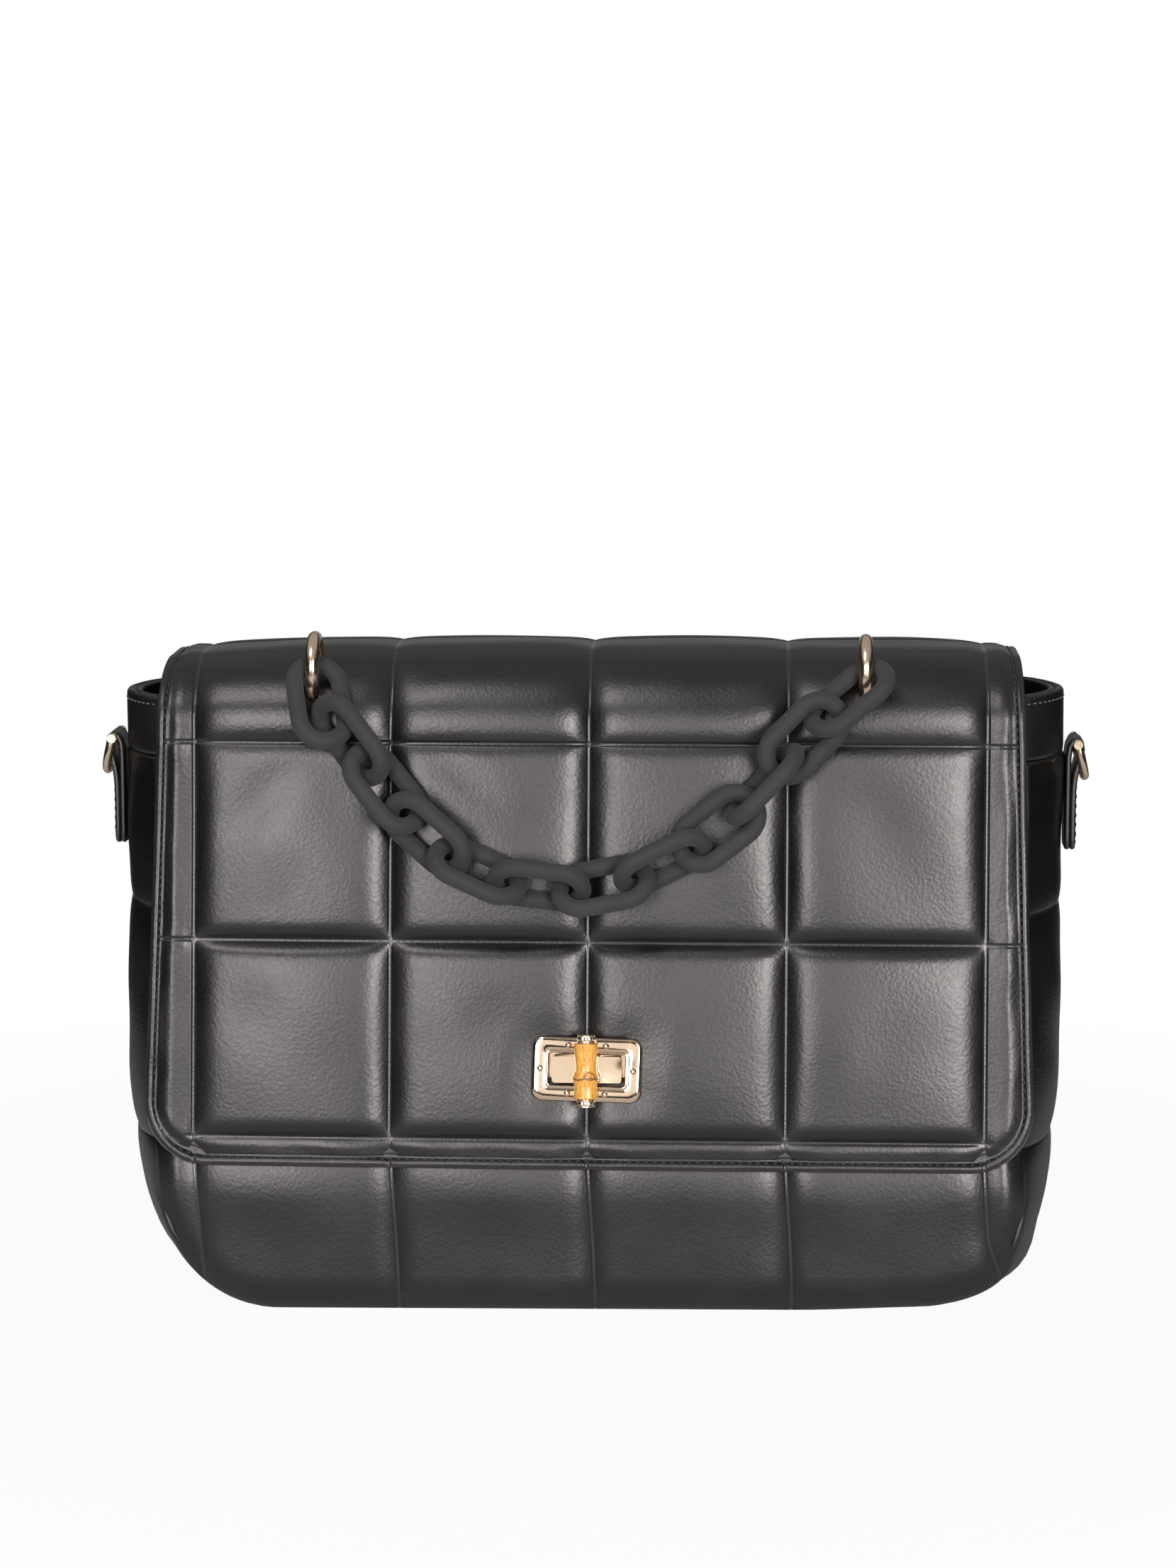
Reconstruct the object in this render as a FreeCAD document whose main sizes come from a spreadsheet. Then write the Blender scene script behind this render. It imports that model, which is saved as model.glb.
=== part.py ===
# Chain shoulder bag: a quilted flap bag with a turn lock and a link chain handle.
# Millimetres and degrees, +X to the right, +Y to the back, +Z up, origin under the base.
import FreeCAD
import Part
import Sketcher
import math
import os
from types import SimpleNamespace

# Driving dimensions
numbers = {
    # bag body
    "bag_width": 315,
    "gusset_bulge": 17.5,
    "base_depth": 110,
    "panel_tilt": 7.7,
    "rim_height": 198.5,
    "band_height": 15,
    "panel_thick": 4,
    "side_curve_radius": 180,
    "corner_radius": 31,
    "corner_turn": 19.2,
    "base_edge_radius": 12,
    "base_seam_inset": 6,
    "lining_thick": 1,
    "board_thick": 2,
    "facing_height": 34,
    "facing_drop": 1,
    # flap
    "crest_rise": 21.5,
    "crest_front_radius": 28,
    "crest_back_radius": 22,
    "cover_thick": 4,
    "flap_lining_thick": 1,
    "flap_gap": 2.4,
    "flap_back_gap": 1,
    "flap_top_width": 282,
    "flap_foot_width": 292,
    "flap_foot_height": 51,
    "flap_corner_radius": 21,
    "fold_drop": 12.5,
    "fold_gap": 0.5,
    "flap_root_length": 22,
    "flap_root_thick": 2,
    "lining_end_rise": 5,
    # quilting
    "quilt_pitch": 65,
    "channel_width": 2.4,
    "channel_depth": 1.6,
    "flap_first_row": 9.5,
    "panel_first_row": 60,
    "gusset_first_row": 57,
    "gusset_pitch": 76,
    # turn lock
    "lock_height": 83,
    "lock_lean": 1.5,
    "frame_width": 35.5,
    "frame_height": 21,
    "frame_thick": 1.6,
    "frame_corner_radius": 3.5,
    "frame_bevel": 0.7,
    "window_width": 25,
    "window_height": 10.4,
    "window_corner_radius": 1.2,
    "plate_margin": 1.2,
    "plate_thick": 0.8,
    "window_slack": 0.6,
    "rivet_across": 15.2,
    "rivet_pair_across": 6.1,
    "rivet_pair_up": 7.9,
    "rivet_head_radius": 1.05,
    "rivet_head_rise": 0.6,
    "rivet_shank_radius": 0.6,
    "rivet_hole_slack": 0.05,
    "block_width": 22.8,
    "block_height": 8.6,
    "block_corner_radius": 1,
    "block_rise": 1.4,
    "foot_margin": 2.2,
    "foot_thick": 1,
    "leg_radius": 1.1,
    "leg_across": 9,
    "leg_slack": 0.1,
    "leg_proud": 0.8,
    "washer_thick": 1,
    "spindle_radius": 2,
    "spindle_slack": 0.05,
    "spindle_floor": 3,
    "spindle_end_gap": 0.3,
    "bar_length": 24,
    "bar_radius": 3.7,
    "bar_waist_radius": 3.3,
    "bar_knot_radius": 3.85,
    "bar_knot_height": 1.6,
    "bar_lift": 0.6,
    "cap_height": 3,
    "cap_radius": 2.75,
    "cap_collar_radius": 2.95,
    "cap_collar_height": 1,
    # handle rings
    "ring_across": 90,
    "ring_radius": 9.4,
    "ring_wire_radius": 2.2,
    "ring_standoff": 4,
    "ring_rise_angle": 43,
    "ring_hole_slack": 0.5,
    # chain
    "link_length": 34.5,
    "link_width": 21,
    "link_wire_radius": 2.85,
    "link_play": 0.4,
    "chain_clearance": 0.5,
    "last_link_height": 8.2,
    "seat_depth": 3,
    "seat_angle": 20,
    # side tabs and strap rings
    "tab_width": 15,
    "tab_length": 36.3,
    "tab_eye_drop": 12.2,
    "tab_layer": 1.8,
    "tab_eye_slack": 0.4,
    "strap_ring_wire_radius": 1.5,
    "strap_ring_half_width": 9.6,
    "strap_ring_leg": 2.5,
    "strap_ring_rest_angle": 14,
    # all cuts run past their solid by this
    "overrun": 20,
}

# Turn of the chain from link to link, in degrees below the level, and how far each step is
# stretched, as a share of the longest step that two links allow.
step_angles = (50, 54, 47.5, 35, 13, 0, -22, -32, -44, -50, -42)
step_shares = (0.7, 0.85, 0.89, 0.89, 0.905, 0.925, 0.915, 0.925, 0.915, 0.86, 0.86)
# Roll of each link about its own length: 0 lies flat on the flap, 90 stands on its edge.
link_rolls = (-24, 45, -40, 36, -50, 48, -40, 54, -14, -76, 18, -50)
# The first and the last link hang in a ring: their turn, and how far they lean off the flap.
end_turns = (78, -40)
end_leans = (28, -12)

doc = FreeCAD.newDocument("ChainShoulderBag")
sheet = doc.addObject("Spreadsheet::Sheet", "Sizes")
for row, (alias, number) in enumerate(numbers.items(), start=1):
    sheet.set(f"A{row}", alias)
    sheet.set(f"B{row}", str(number))
    sheet.setAlias(f"B{row}", alias)
doc.recompute()


# A size is a number together with the sheet formula that gives it
class Size:
    def __init__(self, value, formula):
        self.value = float(value)
        self.formula = formula

    def __add__(self, other):
        other = as_size(other)
        return Size(self.value + other.value, f"({self.formula} + {other.formula})")

    def __sub__(self, other):
        other = as_size(other)
        return Size(self.value - other.value, f"({self.formula} - {other.formula})")

    def __mul__(self, other):
        other = as_size(other)
        return Size(self.value * other.value, f"({self.formula} * {other.formula})")

    def __truediv__(self, other):
        other = as_size(other)
        return Size(self.value / other.value, f"({self.formula} / {other.formula})")

    def __neg__(self):
        return Size(-self.value, f"(0 - {self.formula})")


def as_size(item):
    return item if isinstance(item, Size) else Size(item, str(item))


def sine(angle):
    return Size(math.sin(math.radians(angle.value)), f"sin({angle.formula})")


def cosine(angle):
    return Size(math.cos(math.radians(angle.value)), f"cos({angle.formula})")


def tangent(angle):
    return Size(math.tan(math.radians(angle.value)), f"tan({angle.formula})")


def root(size):
    return Size(math.sqrt(size.value), f"sqrt({size.formula})")


size = SimpleNamespace(**{a: Size(n, f"Sizes.{a}") for a, n in numbers.items()})
zero = Size(0, "0")
X_AXIS = FreeCAD.Vector(1, 0, 0)


# Sketches: outlines through corners, each corner bound to the sheet
def new_sketch(body, name, plane):
    sketch = body.newObject("Sketcher::SketchObject", name)
    support = next(f for f in body.Origin.OriginFeatures if f.Role == plane)
    sketch.AttachmentSupport = [(support, "")]
    sketch.MapMode = "FlatFace"
    return sketch


def bend(start, end, radius):
    half = (end - start) / 2
    reach = math.sqrt(max(radius**2 - half.Length**2, 0))
    left = FreeCAD.Vector(-half.y, half.x, 0).normalize()
    centre = start + half + left * math.copysign(reach, radius)
    first, last = (start, end) if radius > 0 else (end, start)
    angles = [math.atan2((p - centre).y, (p - centre).x) for p in (first, last)]
    return Part.ArcOfCircle(Part.Circle(centre, FreeCAD.Vector(0, 0, 1), abs(radius)), *angles)


# A corner is (across, up) or (across, up, radius): the radius bends the run that leaves the
# corner, to the left when it is positive and to the right when it is negative.
def draw(sketch, corners, closed=True):
    corners = [tuple(as_size(item) for item in corner) for corner in corners]
    spots = [FreeCAD.Vector(corner[0].value, corner[1].value, 0) for corner in corners]
    first = sketch.GeometryCount
    count = len(corners) if closed else len(corners) - 1
    runs = []
    ends = []
    for i in range(count):
        start, end = spots[i], spots[(i + 1) % len(spots)]
        if len(corners[i]) == 2:
            runs.append(Part.LineSegment(start, end))
            ends.append((1, 2))
        else:
            radius = corners[i][2].value
            runs.append(bend(start, end, radius))
            ends.append((1, 2) if radius > 0 else (2, 1))
    sketch.addGeometry(runs, False)
    rules = []
    formulas = []

    def rule(formula, *parts):
        rules.append(Sketcher.Constraint(*parts))
        formulas.append(formula)

    for i in range(count if closed else count - 1):
        following = (i + 1) % count
        rule(None, "Coincident", first + i, ends[i][1], first + following, ends[following][0])
    for i, corner in enumerate(corners):
        run = min(i, count - 1)
        geometry, point = first + run, ends[run][0 if i == run else 1]
        for place, kind, axis in ((corner[0], "DistanceX", -2), (corner[1], "DistanceY", -1)):
            if place.value == 0:
                rule(None, "PointOnObject", geometry, point, axis)
            else:
                rule(place.formula, kind, -1, 1, geometry, point, place.value)
        if i < count and len(corner) == 3:
            radius = corner[2] if corner[2].value > 0 else -corner[2]
            rule(radius.formula, "Radius", first + i, radius.value)
    bind(sketch, rules, formulas)


def draw_circle(sketch, across, up, radius):
    across, up = as_size(across), as_size(up)
    geometry = sketch.GeometryCount
    centre = FreeCAD.Vector(across.value, up.value, 0)
    sketch.addGeometry(Part.Circle(centre, FreeCAD.Vector(0, 0, 1), radius.value), False)
    rules = [Sketcher.Constraint("Radius", geometry, radius.value)]
    formulas = [radius.formula]
    for place, kind, axis in ((across, "DistanceX", -2), (up, "DistanceY", -1)):
        if place.value == 0:
            rules.append(Sketcher.Constraint("PointOnObject", geometry, 3, axis))
            formulas.append(None)
        else:
            rules.append(Sketcher.Constraint(kind, -1, 1, geometry, 3, place.value))
            formulas.append(place.formula)
    bind(sketch, rules, formulas)


def bind(sketch, rules, formulas):
    start = sketch.ConstraintCount
    sketch.addConstraint(rules)
    for i, formula in enumerate(formulas):
        if formula:
            sketch.renameConstraint(start + i, f"size{start + i}")
            sketch.setExpression(f"Constraints.size{start + i}", formula)


def rounded_box(half_width, half_height, radius):
    w, v = half_width, half_height
    return [
        (w - radius, -v, radius), (w, -v + radius), (w, v - radius, radius), (w - radius, v),
        (-w + radius, v, radius), (-w, v - radius), (-w, -v + radius, radius), (-w + radius, -v),
    ]


# Features
def new_body(name):
    return doc.addObject("PartDesign::Body", name)


def pad(body, sketch, length, side="One side", reverse=False):
    feature = body.newObject("PartDesign::Pad", sketch.Name + "Pad")
    feature.Profile = sketch
    feature.SideType = side
    feature.Reversed = reverse
    feature.setExpression("Length", length.formula)
    return feature


def prism(name, plane, corners, length, side="Symmetric"):
    body = new_body(name)
    sketch = new_sketch(body, name + "Outline", plane)
    draw(sketch, corners)
    pad(body, sketch, length, side)
    return body


def turned(name, corners):
    body = new_body(name)
    sketch = new_sketch(body, name + "Half", "XZ_Plane")
    draw(sketch, corners)
    feature = body.newObject("PartDesign::Revolution", name + "Turn")
    feature.Profile = sketch
    feature.ReferenceAxis = (sketch, ["V_Axis"])
    feature.Angle = 360
    return body


def block(name, low, high):
    box = doc.addObject("Part::Box", name)
    for side, a, b in zip(("Length", "Width", "Height"), low, high):
        box.setExpression(side, (b - a).formula)
    for axis, a in zip("xyz", low):
        box.setExpression(f"Placement.Base.{axis}", a.formula)
    return box


def rod(name, radius, length):
    cylinder = doc.addObject("Part::Cylinder", name)
    cylinder.setExpression("Radius", radius.formula)
    cylinder.setExpression("Height", length.formula)
    return cylinder


def common(name, *shapes):
    result = doc.addObject("Part::MultiCommon", name)
    result.Shapes = list(shapes)
    return result


def cut(name, base, tool):
    result = doc.addObject("Part::Cut", name)
    result.Base = base
    result.Tool = tool
    return result


def group(name, members):
    result = doc.addObject("Part::Compound", name)
    result.Links = members
    return result


nodes = []


def subpart(thing, label):
    thing.Label = label
    nodes.append(thing)
    return thing


# Bag form: the meeting of a front view, a side view and a plan view, moved in by an inset
tilt_sin, tilt_cos, tilt_tan = (f(size.panel_tilt) for f in (sine, cosine, tangent))
half_width = size.bag_width / 2
half_depth = size.base_depth / 2
seam_height = size.rim_height - size.band_height
crest_height = size.rim_height + size.crest_rise


def back_face(height, out):
    return half_depth + out / tilt_cos - height * tilt_tan


def front_face(height, out):
    return -back_face(height, out)


side_centre_x = half_width - size.side_curve_radius
corner_centre_x = side_centre_x + (size.side_curve_radius - size.corner_radius) * cosine(size.corner_turn)
side_start = size.corner_radius + (size.side_curve_radius - size.corner_radius) * sine(size.corner_turn)
bulge_radius = (half_depth * half_depth + size.gusset_bulge * size.gusset_bulge) / (size.gusset_bulge * 2)


def mirrored(right):
    left = []
    for i, corner in enumerate(reversed(right)):
        previous = right[len(right) - 2 - i] if i < len(right) - 1 else ()
        left.append((-corner[0], corner[1]) + tuple(previous[2:]))
    return right + left


def bag_form(name, inset, top):
    side_radius = size.side_curve_radius - inset
    edge = size.base_edge_radius - inset
    knee_x = side_centre_x + side_radius * cosine(size.corner_turn)
    knee_z = side_start - side_radius * sine(size.corner_turn)
    side = half_width - inset
    front_view = mirrored([
        (corner_centre_x, inset, size.corner_radius - inset), (knee_x, knee_z, side_radius),
        (side, side_start), (side, top),
    ])
    foot = back_face(inset, -inset)
    half_corner = (as_size(90) - size.panel_tilt) / 2
    run = edge / tangent(half_corner)
    side_view = mirrored([
        (foot - run, inset, edge), (foot - run * tilt_sin, inset + run * tilt_cos),
        (back_face(top, -inset), top),
    ])
    radius = bulge_radius - inset
    bulge_end = half_width - bulge_radius + root(radius * radius - half_depth * half_depth)
    plan_view = [
        (bulge_end, -half_depth, radius), (bulge_end, half_depth),
        (-bulge_end, half_depth, radius), (-bulge_end, -half_depth),
    ]
    return common(
        name,
        prism(name + "Front", "XZ_Plane", front_view, size.base_depth),
        prism(name + "Side", "YZ_Plane", side_view, size.bag_width),
        prism(name + "Plan", "XY_Plane", plan_view, top, "One side"),
    )


past_rim = size.rim_height + size.overrun
reach_x = half_width + size.overrun
reach_y = half_depth + size.overrun
outer_form = bag_form("OuterForm", zero, size.rim_height)
inner_form = bag_form("InnerForm", size.panel_thick, past_rim)
lined_form = bag_form("LinedForm", size.panel_thick + size.lining_thick, past_rim)
wall = cut("Wall", outer_form, inner_form)


def level(name, low, high):
    return block(name, (-reach_x, -reach_y, low), (reach_x, reach_y, high))


# Quilting: channels pressed into the padded pieces, cut from a skin of the bag's own form
quilt_skin = cut("QuiltSkin", outer_form, bag_form("QuiltForm", size.channel_depth, past_rim))
half_channel = size.channel_width / 2
quilt_columns = [size.quilt_pitch * i for i in (-2, -1, 0, 1, 2)]


def upright_channel(name, x):
    return block(name, (x - half_channel, -reach_y, -size.overrun), (x + half_channel, reach_y, past_rim))


def quilted(name, blank, uprights, rows):
    for label, channels in (("Columns", uprights), ("Rows", rows)):
        channel_cut = common(name + label + "Cut", quilt_skin, group(name + label, channels))
        blank = cut(name + label + "Quilted", blank, channel_cut)
    return blank


def channel_rows(name, first, pitch):
    heights = [first, first + pitch]
    return [level(f"{name}Row{i}", z - half_channel, z + half_channel) for i, z in enumerate(heights)]


# Front and back panels, with the two holes that the lock's legs pass through
def slab(name, face, out, into):
    foot, head = -size.overrun, seam_height
    corners = [
        (face(foot, into), foot), (face(foot, out), foot), (face(head, out), head), (face(head, into), head),
    ]
    return prism(name, "YZ_Plane", corners, size.bag_width)


flap_out = size.flap_gap + size.flap_lining_thick + size.cover_thick
flap_normal = FreeCAD.Vector(0, -tilt_cos.value, tilt_sin.value)
flap_up = FreeCAD.Vector(0, tilt_sin.value, tilt_cos.value)
flap_turn = FreeCAD.Rotation(X_AXIS, 90 - size.panel_tilt.value)


# Place on the lock's axis, at a distance out from the front panel's face
def at_lock(out, lean=0):
    face = FreeCAD.Vector(0, front_face(size.lock_height, zero).value, size.lock_height.value)
    turn = flap_turn * FreeCAD.Rotation(FreeCAD.Vector(0, 0, 1), -lean)
    return FreeCAD.Placement(face + flap_normal * out.value, turn)


def moved(place, across, up, out):
    step = FreeCAD.Vector(across.value, up.value, out.value)
    return place * FreeCAD.Placement(step, FreeCAD.Rotation())


def lock_rods(name, radius, length, spots, place):
    rods = []
    for i, (across, up) in enumerate(spots):
        rods.append(rod(f"{name}{i}", radius, length))
        rods[-1].Placement = moved(place, across, up, zero)
    return group(name, rods)


leg_spots = [(size.leg_across, zero), (-size.leg_across, zero)]
leg_length = size.panel_thick + size.lining_thick + size.washer_thick + size.leg_proud
leg_holes = lock_rods(
    "LegHoles", size.leg_radius + size.leg_slack, leg_length + size.overrun, leg_spots,
    at_lock(-leg_length))
front_slab = slab("FrontSlab", front_face, size.overrun, -size.panel_thick)
back_slab = slab("BackSlab", back_face, size.overrun, -size.panel_thick)
panel_columns = [upright_channel(f"PanelColumn{i}", x) for i, x in enumerate(quilt_columns)]
panel_rows = channel_rows("Panel", size.panel_first_row, size.quilt_pitch)
front_plate = common("FrontPlate", outer_form, front_slab)
front_quilt = quilted("Front", front_plate, panel_columns, panel_rows)
subpart(cut("FrontPanel", front_quilt, leg_holes), "front_panel")
back_plate = common("BackPlate", outer_form, back_slab)
subpart(quilted("Back", back_plate, panel_columns, panel_rows), "back_panel")

# Gussets and base: one strip between the panels, seamed at two places under the bag
middle = prism(
    "Middle", "YZ_Plane",
    mirrored([
        (back_face(-size.overrun, -size.panel_thick), -size.overrun),
        (back_face(seam_height, -size.panel_thick), seam_height),
    ]),
    size.bag_width)
strip = common("Strip", wall, middle)
seam_x = corner_centre_x - size.base_seam_inset
for label, low_x, high_x in (
    ("gusset_left", -reach_x, -seam_x), ("base_panel", -seam_x, seam_x), ("gusset_right", seam_x, reach_x),
):
    zone = block(label + "Zone", (low_x, -reach_y, -size.overrun), (high_x, reach_y, size.rim_height))
    piece = common(label + "Strip", strip, zone)
    if label != "base_panel":
        crease = block(
            label + "Crease", (low_x, -half_channel, size.corner_radius), (high_x, half_channel, past_rim))
        rows = channel_rows(label, size.gusset_first_row, size.gusset_pitch)
        piece = quilted(label, piece, [crease], rows)
    subpart(piece, label)

# Mouth band and the facing inside it, the lining, and the board under the lining
subpart(common("MouthBand", wall, level("BandZone", seam_height, size.rim_height)), "mouth_band")
facing_foot = size.rim_height - size.facing_height
facing_zone = level("FacingZone", facing_foot, size.rim_height - size.facing_drop)
facing_block = common("FacingBlock", inner_form, facing_zone)
subpart(cut("MouthFacing", facing_block, lined_form), "mouth_facing")
board_top = size.panel_thick + size.board_thick
lining_block = common("LiningBlock", inner_form, level("LiningZone", board_top, facing_foot))
lining_floor = board_top + size.lining_thick
lining_hollow = common("LiningHollow", lined_form, level("HollowZone", lining_floor, past_rim))
lining_bag = cut("LiningBag", lining_block, lining_hollow)
subpart(cut("Lining", lining_bag, leg_holes), "lining")
subpart(common("BaseBoard", inner_form, level("BoardZone", zero, board_top)), "base_board")

# Flap: a strip that follows the bag from the fold at the back over the crest to its foot
flap_back_out = size.flap_back_gap + size.flap_lining_thick + size.cover_thick
front_centre_z = crest_height - size.crest_front_radius
front_centre_y = front_face(front_centre_z, flap_out) + size.crest_front_radius / tilt_cos
back_centre_z = crest_height - size.crest_back_radius
back_centre_y = back_face(back_centre_z, flap_back_out) - size.crest_back_radius / tilt_cos
fold_z = size.rim_height - size.fold_drop
fold_y = back_face(fold_z, flap_back_out - size.cover_thick / 2)


# One face of the flap, from its foot to its back end, at a depth under the cover's outside
def flap_face(depth, end):
    front = size.crest_front_radius - depth
    back = size.crest_back_radius - depth
    foot = size.flap_foot_height - size.overrun
    return [
        (front_face(foot, flap_out - depth), foot),
        (front_centre_y - front * tilt_cos, front_centre_z + front * tilt_sin, -front),
        (front_centre_y, front_centre_z + front),
        (back_centre_y, back_centre_z + back, -back),
        (back_centre_y + back * tilt_cos, back_centre_z + back * tilt_sin),
        end,
    ]


# The same face walked the other way, so that its bends turn left
def walked_back(face):
    return [face[5], face[4] + (-face[3][2],), face[3][:2], face[2] + (-face[1][2],), face[1][:2], face[0]]


half_cover = size.cover_thick / 2
fold_outer = (fold_y + half_cover * tilt_cos, fold_z + half_cover * tilt_sin, -half_cover)
fold_tip = (fold_y + half_cover * tilt_sin, fold_z - half_cover * tilt_cos, -half_cover)
fold_inner = (fold_y - half_cover * tilt_cos, fold_z - half_cover * tilt_sin)
cover_outside = flap_face(zero, fold_outer)
cover_inside = flap_face(size.cover_thick, fold_inner)
cover_strip = prism(
    "CoverStrip", "YZ_Plane", cover_outside + [fold_tip] + walked_back(cover_inside), size.bag_width)

lining_end_z = fold_z + size.lining_end_rise
lining_depth = size.cover_thick + size.flap_lining_thick
lining_face_out = flap_back_out - size.cover_thick
lining_outside = flap_face(size.cover_thick, (back_face(lining_end_z, lining_face_out), lining_end_z))
lining_inside = flap_face(lining_depth, (back_face(lining_end_z, size.flap_back_gap), lining_end_z))
flap_lining_strip = prism(
    "FlapLiningStrip", "YZ_Plane", lining_outside + walked_back(lining_inside), size.bag_width)

# The flap seen from the front: a little wider at its foot, with two round corners
corner_top = size.flap_foot_height + size.flap_corner_radius
top_half, foot_half = size.flap_top_width / 2, size.flap_foot_width / 2
flap_outline = prism(
    "FlapOutline", "XZ_Plane",
    mirrored([
        (foot_half - size.flap_corner_radius, size.flap_foot_height, size.flap_corner_radius),
        (foot_half, corner_top), (top_half, crest_height + size.overrun),
    ]),
    size.base_depth * 2)

# Flap root: the end of the flap, pared thin, that is sewn down on the back panel
root_head = fold_z - half_cover - size.fold_gap
root_foot = root_head - size.flap_root_length
subpart(
    prism(
        "FlapRoot", "YZ_Plane",
        [(back_face(root_foot, zero), root_foot), (back_face(root_foot, size.flap_root_thick), root_foot),
         (back_face(root_head, size.flap_root_thick), root_head), (back_face(root_head, zero), root_head)],
        size.flap_top_width),
    "flap_root")

# Handle rings: each dips through the round of the crest, in a hole of its own shape
ring_reach = size.crest_front_radius + size.ring_standoff
ring_y = front_centre_y - ring_reach * cosine(size.ring_rise_angle)
ring_z = front_centre_z + ring_reach * sine(size.ring_rise_angle)


def handle_ring(name, x, wire_radius):
    ring = doc.addObject("Part::Torus", name)
    ring.setExpression("Radius1", size.ring_radius.formula)
    ring.setExpression("Radius2", wire_radius.formula)
    ring.Placement = FreeCAD.Placement(FreeCAD.Vector(), FreeCAD.Rotation(FreeCAD.Vector(0, 1, 0), 90))
    for axis, place in zip("xyz", (x, ring_y, ring_z)):
        ring.setExpression(f"Placement.Base.{axis}", place.formula)
    return ring


ring_holes = []
for label, x in (("ring_left", -size.ring_across), ("ring_right", size.ring_across)):
    subpart(handle_ring(label, x, size.ring_wire_radius), label)
    ring_holes.append(handle_ring(label + "Hole", x, size.ring_wire_radius + size.ring_hole_slack))

# Chain: link centres step along the flap from the left ring to the right ring
longest_step = size.link_length - size.link_wire_radius * 4 - size.link_play
hang_length = size.link_length / 2 - size.link_wire_radius
limb_offset = size.link_width / 2 - size.link_wire_radius


# Where the wire of the first link lies in the left ring
def ring_seat():
    reach, angle = size.seat_depth, size.seat_angle
    seat_y = ring_y - reach * cosine(angle)
    seat_z = ring_z + reach * sine(angle)
    return FreeCAD.Vector(-size.ring_across.value, seat_y.value, seat_z.value)


def end_direction(turn, lean):
    turn, lean = math.radians(turn), math.radians(lean)
    along = X_AXIS * math.cos(turn) - flap_up * math.sin(turn)
    return along * math.cos(lean) + flap_normal * math.sin(lean)


# Height of each link's centre over the flap: a link rests on its lower limb, and one that
# lies flatter than its neighbours is held up by them
def link_heights():
    rest = [
        limb_offset.value * abs(math.sin(math.radians(roll))) + size.link_wire_radius.value
        for roll in link_rolls
    ]
    heights = []
    for i, own in enumerate(rest):
        neighbours = rest[max(i - 1, 0):i] + rest[i + 1:i + 2]
        heights.append(max(own, sum(neighbours) / len(neighbours)) + size.chain_clearance.value)
    return heights


directions = [end_direction(turn, lean) for turn, lean in zip(end_turns, end_leans)]
flap_origin = FreeCAD.Vector(0, front_face(zero, flap_out).value, 0)
first = ring_seat() + directions[0] * hang_length.value - flap_origin
heights = link_heights()
heights[0] = first.dot(flap_normal)
heights[-1] = size.last_link_height.value
centres = []
across, up = first.x, first.dot(flap_up)
for i, height in enumerate(heights):
    centres.append(flap_origin + X_AXIS * across + flap_up * up + flap_normal * height)
    if i < len(step_angles):
        angle = math.radians(step_angles[i])
        across += step_shares[i] * longest_step.value * math.cos(angle)
        up -= step_shares[i] * longest_step.value * math.sin(angle)
for before, after in zip(centres[:-2], centres[2:]):
    directions.insert(-1, (after - before).normalize())


def chain_link(number, centre, along, roll):
    name = f"ChainLink{number:02d}"
    body = new_body(name)
    straight = (size.link_length - size.link_width) / 2
    path = new_sketch(body, name + "Path", "XY_Plane")
    draw(path, [
        (zero, limb_offset), (straight, limb_offset, -limb_offset),
        (straight + limb_offset, zero, -limb_offset), (straight, -limb_offset),
        (-straight, -limb_offset, -limb_offset), (-straight - limb_offset, zero, -limb_offset),
        (-straight, limb_offset),
    ])
    section = new_sketch(body, name + "Section", "YZ_Plane")
    draw_circle(section, limb_offset, zero, size.link_wire_radius)
    pipe = body.newObject("PartDesign::AdditivePipe", name + "Pipe")
    pipe.Profile = section
    pipe.Spine = (path, [])
    flat = flap_normal.cross(along).normalize()
    lift = along.cross(flat)
    angle = math.radians(roll)
    across_link = flat * math.cos(angle) + lift * math.sin(angle)
    turn = FreeCAD.Rotation(along, across_link, along.cross(across_link), "XYZ")
    body.Placement = FreeCAD.Placement(centre, turn)
    return subpart(body, f"chain_link_{number:02d}")


for i, placing in enumerate(zip(centres, directions, link_rolls), start=1):
    chain_link(i, *placing)

# Lock window and rivet holes through the flap
rivet_spots = [(size.rivet_across, zero), (-size.rivet_across, zero)] + [
    (a, b)
    for a in (size.rivet_pair_across, -size.rivet_pair_across)
    for b in (size.rivet_pair_up, -size.rivet_pair_up)
]
rivet_hole = size.rivet_shank_radius + size.rivet_hole_slack
frame_place = at_lock(flap_out, size.lock_lean.value)
rivet_holes = lock_rods(
    "RivetHoles", rivet_hole, flap_out + size.overrun, rivet_spots,
    moved(frame_place, zero, zero, -flap_out))
window_tool = prism(
    "WindowTool", "XY_Plane",
    rounded_box(
        size.window_width / 2 + size.window_slack, size.window_height / 2 + size.window_slack,
        size.window_corner_radius),
    flap_out * 4)
window_tool.Placement = at_lock(flap_out)
flap_tools = group("FlapTools", [window_tool, rivet_holes] + ring_holes)
cover = common("Cover", cover_strip, flap_outline)

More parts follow.
